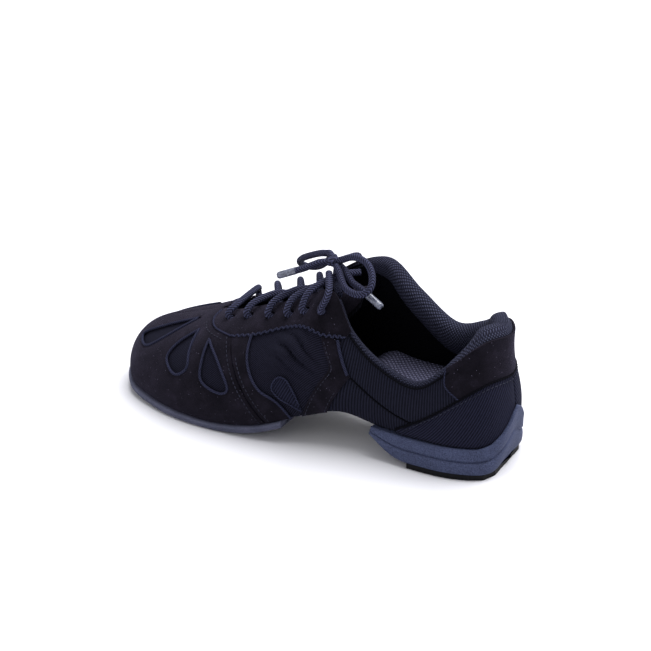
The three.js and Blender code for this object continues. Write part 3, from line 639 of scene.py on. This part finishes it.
def makeKnot():
    # the lace wraps twice round itself inside a tight ball
    turns = np.linspace(0, 1, 90)
    angle = turns * 2 * math.pi * 2.2
    line = place((120, 1, 107.2)) + np.stack([
        2.4 * np.cos(angle) * np.cos(turns * 2.4), 2.9 * np.sin(angle),
        1.9 * np.cos(angle + 0.6) * np.sin(turns * 2.4 + 0.4)], -1) * mm
    piece = tube("bowKnot", line, laceSet["diameter"] * mm, 14)
    return settle(piece, "lace", "forefoot_half", ["bow_knot"])


agletSet = {"length": 13, "diameter": 4.5}


def makeAglet(name, end):
    points = place(bowPoints[end][-2:])
    at = np.linspace(0.4, 0.4 + agletSet["length"], 12) * mm
    line = points[1] + unit(points[1] - points[0]) * at[:, None]
    piece = tube(name, line, agletSet["diameter"] * mm, 16, tip=0.8)
    return settle(piece, "clear", "forefoot_half", [nodeOf(name)])


knot = makeKnot()
aglets = {name.lower() + "_end": makeAglet("aglet" + name, name.lower() + "_end") for name in sides}
makeLaces(laceSet)
print("laces", len(eyelets), "pairs of eyelets")

# upper: cut pieces of suede, ribbed cloth and twill, as (run, rise) seams of the outer side
overlaySheet = {"outer": 0.0, "thick": 1.2, "mesh": 2.4, "round": 0.4, "puff": 0.0}
clothSheet = {"outer": -1.25, "thick": 1.2, "mesh": 2.4, "round": 0.2, "puff": 0.0}
liningSheet = {"outer": -3.9, "thick": 0.9, "mesh": 5.0, "round": 0.0, "puff": 0.0}
seams = {
    "quarterFront": [(121, 0.51), (133, 0.76), (126, 1)],
    "archFront": [(132, 0), (126, 0.26), (121, 0.51)],
    "quarterSeam": [(38, 0.18), (70, 0.23), (84, 0.29), (96, 0.36), (106, 0.43), (121, 0.51)],
    "bandFront": [(168, 0), (176, 0.14), (188, 0.36), (199, 0.57), (207, 0.72)],
    "bandRear": [(152, 0), (161, 0.15), (172, 0.27), (180, 0.4), (187, 0.56), (192, 0.73)],
    "facingLower": [(130, 0.88), (144, 0.71), (164, 0.75), (174, 0.77), (192, 0.73), (207, 0.72)],
    "facingEnd": [(207, 0.72), (225, 0.79), (236, 0.87), (243, 1)],
    "foxingTop": [(0, 0.6), (22, 0.6), (42, 0.55), (56, 0.47), (70, 0.34), (88, 0.05)],
    "patchLower": [(-44, 0.55), (-22, 0.6), (0, 0.6), (22, 0.6), (44, 0.55)],
    "patchFront": [(44, 0.55), (53, 0.78), (53, 1)],
    "strapFront": [(146, 0), (138, 0.28), (134, 0.48), (138, 0.6), (143, 0.7)],
    "insert": [(146, 0.045), (152, 0.1), (159, 0.17), (164.5, 0.27), (162, 0.34), (156.5, 0.31), (151, 0.2),
               (147.5, 0.1)],
    "vampThroat": [(208.5, 0.72), (226.5, 0.79), (237.5, 0.87), (244.5, 1)],
}
teardrops = [
    [(250, 0.84), (268, 0.76), (281, 0.62), (284, 0.5), (270, 0.46), (260, 0.61)],
    [(237, 0.74), (245, 0.58), (246, 0.43), (234, 0.33), (226, 0.41), (231, 0.56)],
    [(221, 0.68), (217, 0.5), (212, 0.33), (198, 0.25), (193, 0.3), (205, 0.5)],
]


def back(seam):
    return list(reversed(seam))


def mirrored(line):
    # the same line on the inner side
    return np.stack([across - line[:, 0], line[:, 1]], -1)


def teardropLoop(points):
    # sharp at the tip, round at the blunt end
    tip = np.array(points[0], float)
    line = smoothLine([points[0], *points[1:], points[0]], 1.2)
    return np.vstack([tip, line[1:-1]])


def toeOutline(foot, throat):
    # foot round the toe to the inner side, up the inner throat, back over the ridge, down the outer throat
    ends = throat[-1][0], across - throat[-1][0]
    runs = np.linspace(ends[1], ends[0], 4 * int((lastShape["toe"] - ends[0]) / 2) + 1)[:-1]
    feet = np.linspace(foot, across - foot, int((across - 2 * foot) / 2))[:-1]
    line = smoothLine(throat)
    outline = np.vstack([np.stack([feet, 0 * feet], -1), mirrored(line)[:-1],
                         np.stack([runs, 0 * runs + 1], -1), line[::-1][:-1]])
    return outline, ends


def makeVamp():
    outline, ridge = toeOutline(168, seams["bandFront"] + seams["vampThroat"][1:])
    holes = [teardropLoop(drop) for drop in teardrops]

    def stuffed(run, rise, away):
        # the suede sinks a little where it is sewn down round each opening and at its edges
        return 0.5 * (1 - np.exp(-away / 2.5)) - 0.25

    vamp = cutSheet("vampSuede", outline, {**overlaySheet, "mesh": 2.2}, [*holes, *map(mirrored, holes)],
                    relief=stuffed, ridge=ridge)
    settle(vamp, "suede", "forefoot_half", ["vamp"])
    outline, ridge = toeOutline(180, [(180, 0), (186, 0.3), (194, 0.7), (203, 1)])
    settle(cutSheet("vampUnderlay", outline, clothSheet, ridge=ridge), "twill", "forefoot_half",
           ["vamp_underlay"])
    outline, _ = toeOutline(134, [(134, 0), (134, 0.5), (134, 1)])
    settle(cutSheet("forefootLining", outline, liningSheet, ridge=(250, 350)), "lining", "arch",
           ["forefoot_lining"])
    for n, loop in enumerate(holes):
        for sideName, side in sides.items():
            piece = tube(f"teardropCord{n + 1}{sideName}", layOn(loop, 0.15, side), 1.7 * mm, 8, closed=True)
            settle(piece, "cordEdge", "forefoot_half")


def wavy(line, size, pitch):
    # picot edge: the line swings to and fro square to itself
    flat = line * (1, patternHeight)
    lengths = lengthsAlong(flat)
    at = np.arange(0, lengths[-1], pitch / 6)
    dense = np.stack([np.interp(at, lengths, flat[:, k]) for k in (0, 1)], -1)
    ahead = unit(np.gradient(dense, axis=0))
    fade = np.clip(np.minimum(at, lengths[-1] - at) / pitch, 0, 1)
    swing = size * np.sin(at * 2 * math.pi / pitch) * fade
    dense = dense + np.stack([-ahead[:, 1], ahead[:, 0]], -1) * swing[:, None]
    return np.vstack([dense, flat[-1]]) / (1, patternHeight)


def eyeletLoop(spot, size):
    run, rise = spot
    wide = np.linalg.norm(wallAt(run + 1, rise) - wallAt(run - 1, rise)) / 2 / mm
    tall = np.linalg.norm(wallAt(run, rise + 0.02) - wallAt(run, rise - 0.02)) / 0.04 / mm
    a = np.linspace(0, 2 * math.pi, 15)[:-1]
    return np.stack([run + size * np.cos(a) / wide, rise + size * np.sin(a) / tall], -1)


facingSet = {"eyelet": 2.8, "picot": 0.55, "pitch": 3.6}


def makeFacing(sideName, side, s):
    lower = wavy(smoothLine(seams["facingLower"]), s["picot"], s["pitch"])
    outline = np.vstack([lower[:-1], smoothLine(seams["facingEnd"])[:-1], straight((243, 1), (127, 1))[:-1],
                         straight((127, 1), (130, 0.88))[:-1]])
    holes = [eyeletLoop(spot, s["eyelet"]) for spot in eyelets]
    piece = cutSheet("facing" + sideName, outline, {**overlaySheet, "outer": 0.25, "thick": 1.4}, holes, side,
                     relief=lambda run, rise, away: 0.35 * (1 - np.exp(-away / 3)) - 0.2)
    settle(piece, "suede", "arch", ["facing_" + sideName.lower()])
    # a light cord is whipped on along the picot edge and round the front of the facing
    rim = np.vstack([lower[:-1], smoothLine(seams["facingEnd"][:-1] + [(241, 0.96)])])
    cord = tube("facingCord" + sideName, layOn(rim, 0.15, side), 1.25 * mm, 8)
    settle(cord, "cordEdge", "arch")


foldSet = {"run": 156.5, "up": 32, "slope": 31, "reach": 7.5, "half": 15, "pitch": 5.6, "high": 4.6, "low": 0.5,
           "sharp": 0.75}


def pleats(run, rise, away):
    # the twill gathers into slanting folds between the facing and the arch strap
    s = foldSet
    y = rise * patternHeight
    fade = np.clip(away / 5, 0, 1)
    slope = math.radians(s["slope"])
    cross = (run - s["run"]) * math.sin(slope) - (y - s["up"]) * math.cos(slope)
    along = (run - s["run"]) * math.cos(slope) + (y - s["up"]) * math.sin(slope)
    main = np.exp(-((cross + 1.2) / s["reach"]) ** 2) * np.exp(-(along / s["half"]) ** 2)
    # round backs with a sharp crease between them
    crest = np.abs(np.sin(cross * math.pi / s["pitch"] + 0.3 * np.sin(along / 4))) ** s["sharp"]
    return fade * main * (s["high"] * crest - s["low"])


def makeSide(sideName, side):
    top, heelFoot = [(38, 1), (38, 0.6), (38, 0.18)], [(38, 0.18), (38, 0.1), (38, 0)]
    bandFront = [(run - 1, rise) for run, rise in seams["bandFront"]]
    panels = [
        ("quarter", "rib", "ribbed_fabric", "arch", {**clothSheet, "puff": 0.9},
         closedLoop(seams["quarterSeam"], seams["quarterFront"], [(126, 1), (80, 1), (38, 1)], top)),
        ("archPanel", "rib", "ribbed_fabric", "arch", {**clothSheet, "outer": -1.4, "puff": 0.7},
         closedLoop([(38, 0), (80, 0), (132, 0)], seams["archFront"], back(seams["quarterSeam"]), heelFoot)),
        ("sidePanel", "twill", "twill", "arch", {**clothSheet, "puff": 0.2, "mesh": 1.15},
         closedLoop([(132, 0), (154, 0), (178, 0)], [(178, 0), (188, 0.5), (199, 1)],
                    [(199, 1), (162, 1), (127, 1)], back(seams["quarterFront"]), back(seams["archFront"]))),
        ("sideBand", "suede", "suede", "forefoot_half", overlaySheet,
         closedLoop([(152, 0), (160, 0), (167, 0)], bandFront, [(206, 0.72), (199, 0.725), (192, 0.73)],
                    back(seams["bandRear"]))),
        ("archStrap", "suede", "suede", "arch", {**overlaySheet, "mesh": 2.0},
         closedLoop([(132, 0), (139, 0), (146, 0)], seams["strapFront"], [(143, 0.7), (137, 0.76), (132, 0.8)],
                    [(132, 0.8), (131, 0.7), (121, 0.51)], back(seams["archFront"]))),
        ("sideInsert", "foxRib", "ribbed_fabric", "arch", {**overlaySheet, "outer": 0.1, "mesh": 1.8},
         teardropLoop(seams["insert"])),
        ("foxing", "foxRib", "ribbed_fabric", "heel_half", {**overlaySheet, "puff": 0.5},
         closedLoop([(0.4, 0), (45, 0), (88, 0)], straight((88, 0), (88, 0.05)),
                    back(seams["foxingTop"])[:-1] + [(0.4, 0.6)], straight((0.4, 0.6), (0.4, 0)))),
    ]
    for name, look, slotName, body, sheet, outline in panels:
        relief = pleats if name == "sidePanel" else None
        piece = cutSheet(name + sideName, outline, sheet, side=side, relief=relief)
        settle(piece, look, body, [nodeOf(name + sideName)])


def makeTrim(sideName, side):
    # corded and piped seams
    cords = [
        ("bandCord", seams["bandRear"], 1.7, 0.3, "cordEdge", "forefoot_half"),
        ("splitPiping", [(134, 0.79), (131, 0.72), (122.5, 0.53)], 2.0, 0.1, "cordEdge", "arch"),
        ("quarterPiping", seams["quarterSeam"], 1.0, -0.9, "lining", "arch"),
        ("foxingPiping", [(run, rise + 0.012) for run, rise in seams["foxingTop"]], 1.5, 0.0, "lining",
         "heel_half"),
        ("patchPiping", seams["patchFront"], 1.0, 0.1, "cordEdge", "heel_half"),
        ("collarPiping", [(50, 0.93), (75, 0.915), (100, 0.925), (118, 0.935), (128, 0.945)], 1.2, -0.2, "lining",
         "arch"),
        ("insertCord", seams["insert"], 1.0, 0.4, "cordEdge", "arch"),
    ]
    for name, points, width, offset, look, body in cords:
        piece = tube(name + sideName, layOn(smoothLine(points), offset, side), width * mm, 8)
        settle(piece, look, body)


threadSet = {"stitch": 1.9, "pitch": 2.9, "thread": 0.6}


def makeStitches(sideName, side, s):
    foxing = [(run, max(rise - 0.035, 0.01)) for run, rise in seams["foxingTop"][:-1]] + [(84, 0.06)]
    piece = stitchRow("foxingStitch" + sideName, [(foxing, 0.55)], s, side)
    settle(piece, "thread", "heel_half")
    fore = [([(run + 2.5, rise) for run, rise in seams["bandFront"]], 0.3),
            ([(run + 2.4, rise - 0.035) for run, rise in seams["vampThroat"][:-1]], 0.3),
            ([(run - 3.2, rise) for run, rise in seams["bandFront"]][:-1], 0.05)]
    piece = stitchRow("vampStitch" + sideName, fore, s, side)
    settle(piece, "thread", "forefoot_half")
    arch = [([(run - 1.6, rise) for run, rise in seams["strapFront"]], 0.05),
            ([(run + 1.6, rise) for run, rise in seams["archFront"][:-1]], 0.05)]
    piece = stitchRow("strapStitch" + sideName, arch, s, side)
    settle(piece, "thread", "arch")


makeVamp()
for sideName, side in sides.items():
    makeFacing(sideName, side, facingSet)
    makeSide(sideName, side)
    makeTrim(sideName, side)
    makeStitches(sideName, side, threadSet)
patchOutline = closedLoop(seams["patchLower"], seams["patchFront"], [(53, 1), (0, 1), (-53, 1)],
                          [(-53, 1), (-53, 0.78), (-44, 0.55)])
heelPatch = cutSheet("heelPatch", patchOutline, {**overlaySheet, "puff": 0.3})
settle(heelPatch, "suede", "heel_half", ["heel_patch"])
heelLoop = closedLoop([(-133, 0), (0, 0), (133, 0)], [(133, 0), (133, 0.5), (133, 1)],
                      [(133, 1), (0, 1), (-133, 1)], [(-133, 1), (-133, 0.5), (-133, 0)])
settle(cutSheet("heelLining", heelLoop, liningSheet), "lining", "arch", ["heel_lining"])
print("upper sewn")

# collar: a padded knit roll over the top edge, fuller at the heel
collarSet = {"reach": 143, "step": 2.5, "section": [
    (0.0, -4.2), (0.6, -2.6), (0.3, 0.0), (-1.2, 1.9), (-3.8, 2.7), (-6.8, 2.3), (-9.6, 0.3), (-11.2, -3.4),
    (-11.4, -8.0), (-9.8, -12.5), (-7.4, -16.5), (-6.3, -18.0), (-5.8, -12.0), (-5.0, -4.0), (-2.4, -1.8),
    (-1.0, -3.8)], "innerEdge": -4, "seam": -1.4, "fuller": 0.3,
    "heelLump": 3.2, "heelRun": 40, "endThin": 0.45, "lowest": 42, "tuck": 2.2, "slimFrom": 32, "slimBy": 0.72}


def makeCollar(s):
    runs = np.linspace(-s["reach"], s["reach"], int(2 * s["reach"] / s["step"]) + 1)
    profile = smoothLine([(a, b / patternHeight) for a, b in s["section"]], 1.2, True)[:-1] * (1, patternHeight)
    m = len(profile)
    bm, uv, spots = gridMesh(len(runs) - 1, m)
    lengths = lengthsAlong(np.vstack([profile, profile[:1]]))
    for f in bm.faces:
        for loop in f.loops:
            i, j = spots[loop.vert]
            loop[uv].uv = (runs[i] * mm, lengths[j] * mm)
    top = wallAt(runs, 1.0)
    normal, up = wallNormal(runs, 0.98), unit(top - wallAt(runs, 0.9))
    lump = np.exp(-(runs / s["heelRun"]) ** 4)
    deep = np.clip((top[:, 2] / mm - s["lowest"]) / 18, 0.5, 1)
    thin = 1 - (1 - s["endThin"]) * np.clip((np.abs(runs) - 112) / 30, 0, 1) ** 1.5
    slim = 1 - s["slimBy"] * np.clip((runs - s["slimFrom"]) / 22, 0, 1) ** 2
    for v, (i, j) in spots.items():
        a, b = profile[j % m]
        inside = a < s["innerEdge"]
        a = s["seam"] + (a - s["seam"]) * min(thin[i], slim[i]) * (1 + s["fuller"] * lump[i] * inside)
        a -= s["tuck"] * lump[i] * (not inside)
        b = b * min(thin[i], slim[i] if b > 0 else 1) * (deep[i] if b < 0 else 1)
        if a < s["innerEdge"]:
            b += s["heelLump"] * lump[i] * math.exp(-((b + 1) / 6) ** 2)
        v.co = top[i] + (normal[i] * a + up[i] * b) * mm
    bmesh.ops.remove_doubles(bm, verts=bm.verts[:], dist=1e-6)
    piece = closeUp("collarRoll", bm, 70, 200)
    settle(piece, "mesh", "arch", ["collar_padding", "collar_front_outer", "collar_front_inner"])


makeCollar(collarSet)

# tongue: suede face over a soft pad
tongueSet = {"spine": [(208, 49.9), (184, 55.9), (160, 63.9), (137, 73.5), (115, 87.3), (98, 95.5)],
             "half": [10, 15, 18, 18.7, 13.5, 10.8], "drop": [2, 6, 9, 10, 14, 14], "columns": 60, "rows": 24}


def tongueAt(u, t, depth):
    s = tongueSet
    knots = np.linspace(0, 1, len(s["spine"]))
    line = smoothLine([(a, b / patternHeight) for a, b in s["spine"]], 1.0) * (1, patternHeight)
    where = np.linspace(0, 1, len(line))
    along, up = np.interp(u, where, line[:, 0]), np.interp(u, where, line[:, 1])
    half, drop = np.interp(u, knots, s["half"]), np.interp(u, knots, s["drop"])
    return place(np.stack([along, half * t, up - drop * t * t - depth], -1))


def makeTongue(name, depthTop, depthBottom, look, nodes, s):
    bm, uv, _ = gridMesh(s["columns"], s["rows"])
    liftCopy(bm, 1)
    co = np.array([v.co for v in bm.verts])
    u, t = np.clip(co[:, 0] + 0.5, 0, 1), co[:, 1] * 2
    # round corners at the top end, and thinner towards the edges
    corner = np.sqrt(np.clip(1 - ((np.maximum(u, 0.86) - 0.86) / 0.14) ** 2 * 0.55, 0, 1))
    edge = (1 - np.abs(t) ** 6) * (1 - np.clip((u - 0.9) / 0.1, 0, 1) ** 6)
    middle, full = (depthTop + depthBottom) / 2, (depthBottom - depthTop) / 2
    laid = tongueAt(u, t * corner, middle - (co[:, 2] * 2 - 1) * full * (0.35 + 0.65 * edge))
    for f in bm.faces:
        for loop in f.loops:
            x, y, _ = loop.vert.co
            loop[uv].uv = (x * 0.12, y * 0.034)
    for v, p in zip(bm.verts, laid):
        v.co = p
    return settle(closeUp(name, bm, 60), look, "tongue", nodes)


makeTongue("tongueFace", 0.0, 1.3, "suede", ["tongue_face"], tongueSet)
pad = makeTongue("tonguePad", 1.6, 6.0, "lining", ["tongue_foam", "tongue_lining"], tongueSet)
print("collar and tongue")


# soles: a section lofted round the foot line, closed along the middle
def loftSole(name, runs, section):
    # section(run) gives points from the middle of the top, over the side, to the middle of the underside
    rings = np.array([section(run) for run in runs])
    bm, uv, spots = gridMesh(rings.shape[0] - 1, rings.shape[1] - 1)
    for v, spot in spots.items():
        v.co = rings[spot]
    for f in bm.faces:
        for loop in f.loops:
            loop[uv].uv = loop.vert.co.xy
    bmesh.ops.remove_doubles(bm, verts=bm.verts[:], dist=3e-5)
    bmesh.ops.holes_fill(bm, edges=[e for e in bm.edges if e.is_boundary], sides=400)
    bmesh.ops.dissolve_degenerate(bm, edges=bm.edges[:], dist=1e-6)
    return closeUp(name, bm, 55)


def footEdge(run, reach):
    return wallAt(run, 0.0) + outwardAt(run) * reach * mm


def middleOf(run):
    return (wallAt(run, 0.0) + wallAt(-run, 0.0)) / 2


def atHeight(point, z):
    return np.array([point[0], point[1], z * mm])


outsoleSet = {"top": -0.4, "thick": 4.6}


def outsoleSection(run):
    s = outsoleSet
    centre = middleOf(run)
    top = wallAt(run, 0.0)[2] / mm + s["top"]
    low = max(0.0, top - s["thick"])
    tall = top - low
    side = [(-8, top), (0.6, top), (1.5, top - 0.3), (2.0, top - 0.9), (1.9, low + tall * 0.55),
            (1.5, low + tall * 0.45), (1.7, low + tall * 0.3), (1.3, low + 0.6), (0.4, low)]
    rim = [atHeight(footEdge(run, reach), z) for reach, z in side]
    flatTop = [atHeight(between(centre, rim[0], k), top) for k in (0, 0.5)]
    flatLow = [atHeight(between(centre, rim[-1], k), low) for k in (0.85, 0.5, 0)]
    return flatTop + rim + flatLow


wedgeSet = {"top": -0.4, "plate": 3.8, "noseAlong": 54, "rocker": 50, "spread": (-2.0, 4.5, 4, 32),
            "cup": [(0, 0.285), (5, 0.24), (10, 0.16), (16, 0.09), (24, 0.03), (34, 0.0), (104, 0.0)],
            # the side from its top down: share of the height, and how far it bulges; the groove is half way
            "side": [(0.12, 0.1), (0.26, 0.35), (0.38, 0.45), (0.43, -0.5), (0.47, -0.65), (0.51, 0.3),
                     (0.64, 0.6), (0.8, 0.5), (0.92, 0.2), (1.0, -0.7)]}


def wedgeSection(run):
    s = wedgeSet
    cup = float(np.interp(abs(run), *zip(*s["cup"])))
    centre, edge = middleOf(run), footEdge(run, 0.4)
    top = wallAt(run, 0.0)[2] / mm + s["top"]
    noseX = place((s["noseAlong"], 0, 0))[0] / mm

    def under(p):
        return min(top - 1.6, s["plate"] + max(0.0, noseX - p[0] / mm) ** 2 / s["rocker"])

    inner = [atHeight(p, top) for p in (centre, (centre + edge) / 2, edge)]
    inner += [wall(run, cup * rise, 0.45) for rise in (0.35, 0.7, 1.0)]
    over = [wall(run, cup + rise, offset) for rise, offset in ((0.006, 0.9), (0.006, 1.7), (-0.004, 2.5))]
    start = over[-1]
    low, high = under(footEdge(run, 0)), start[2] / mm
    backReach, spread, fromRun, fullRun = s["spread"]
    wide = ease((abs(run) - fromRun) / (fullRun - fromRun))
    below = footEdge(run, backReach + 0.4 + (spread - backReach) * wide)
    outward = footEdge(run, 1) - footEdge(run, 0)
    side = [atHeight(between(start, below, share) + outward * push, high - (high - low) * share)
            for share, push in s["side"]]
    floor = [between(centre, side[-1], k) for k in (0.85, 0.45, 0)]
    return inner + over + side + [atHeight(p, under(p)) for p in floor]


padSet = {"thick": 16, "from": 112, "to": 84, "dish": 0.6, "rows": [
    (0, 1), (0.2, 1), (0.4, 1), (0.6, 1), (0.8, 1), (0.92, 1), (0.985, 0.93), (1, 0.7), (1, 0.3), (0.98, 0),
    (0.5, 0), (0, 0)]}


def sockSection(run, lift=3.0, thick=2.9, reach=-6.0):
    # the insole; under the heel it stands on a thick pad, a little dished
    s = padSet
    fromX, toX = place((s["from"], 0, 0))[0], place((s["to"], 0, 0))[0]
    centre, edge = middleOf(run), footEdge(run, reach)
    out = []
    for k, level in s["rows"]:
        p = between(centre, edge, k)
        raised = ease((p[0] - fromX) / (toX - fromX))
        pad = s["thick"] * raised - s["dish"] * (1 - k ** 2) * raised
        out.append(p + (0, 0, (lift + (thick + pad) * level) * mm))
    return out


soles = [
    ("forefootOutsole", (158, 442, 143), outsoleSection, "soleRubber", "sole_rubber", "forefoot_half"),
    ("heelWedge", (-104, 104, 131), wedgeSection, "foam", "eva_foam", "heel_half"),
    ("heelSock", (-126, 126, 85), sockSection, "sock", "sock_textile", "heel_half"),
    ("forefootSock", (138, 462, 109), sockSection, "sock", "sock_textile", "forefoot_half"),
]
for name, runs, section, look, slotName, body in soles:
    settle(loftSole(name, np.linspace(*runs), section), look, body, [nodeOf(name)])

# under the arch a soft strip joins both insoles, so no light comes through
bridgeSet = {"from": 98, "to": 162, "reach": -3.6, "lift": 2.15, "thick": 0.75, "columns": 30, "rows": 14}


def makeBridge(s):
    bm, uv, _ = gridMesh(s["columns"], s["rows"])
    long = s["to"] - s["from"]
    for f in bm.faces:
        for loop in f.loops:
            loop[uv].uv = (loop.vert.co.x * long * mm, loop.vert.co.y * 60 * mm)
    upper = liftCopy(bm, 0)
    for v in bm.verts:
        run = s["from"] + (v.co.x + 0.5) * long
        spot = between(footEdge(run, s["reach"]), footEdge(-run, s["reach"]), v.co.y + 0.5)
        v.co = spot + (0, 0, (s["lift"] + s["thick"] * (v in upper)) * mm)
    settle(closeUp("archBridge", bm), "lining", "arch")


makeBridge(bridgeSet)
print("soles")

# what stays as drawn only gets its finish
plain = {"heel_plate": "heelRubber", "heel_board": "board", "forefoot_board": "board", "heel_counter": "board"}
for nodeName, look in plain.items():
    node = bpy.data.objects[nodeName]
    node.data.materials.clear()
    node.data.materials.append(looks[look])

# studio: pale floor, a broad soft sun from above and behind, and two fills
studioSet = {"floor": "#d4d4da", "world": 0.6,
             "overhead": {"from": (0.15, 0.45, 1.3), "angle": 55, "strength": 4.6},
             "lights": [("frontSoft", (-0.6, -1.4, 0.8), 1.2, 3.0), ("rearSoft", (1.0, 0.9, 1.0), 1.0, 9.0)]}


def makeStudio(s):
    bm = bmesh.new()
    bmesh.ops.create_grid(bm, x_segments=4, y_segments=4, size=4)
    floor = meshPiece("studioFloor", bm)
    material, tree = newMaterial("paintedPaperFloor")
    # seamless paper: even and matt
    shader = addNode(tree, "BsdfPrincipled", {"Base Color": linear(s["floor"]), "Roughness": 0.9})
    addNode(tree, "OutputMaterial", {"Surface": shader[0]})
    floor.data.materials.append(material)
    world = bpy.data.worlds.new("studioWorld")
    world.use_nodes = True
    background = world.node_tree.nodes["Background"].inputs
    background["Color"].default_value, background["Strength"].default_value = (1, 1, 1, 1), s["world"]
    scene.world = world
    overhead = bpy.data.lights.new("overheadSoft", "SUN")
    overhead.energy, overhead.angle = s["overhead"]["strength"], math.radians(s["overhead"]["angle"])
    made = [(overhead, s["overhead"]["from"])]
    for name, spot, size, power in s["lights"]:
        data = bpy.data.lights.new(name, "AREA")
        data.size, data.energy = size, power
        made.append((data, spot))
    for data, spot in made:
        light = bpy.data.objects.new(data.name, data)
        light.location = spot
        light.rotation_euler = (Vector(cameraSet["aim"]) - Vector(spot)).to_track_quat("-Z", "Y").to_euler()
        scene.collection.objects.link(light)
    scene.view_settings.view_transform = "Standard"


makeStudio(studioSet)
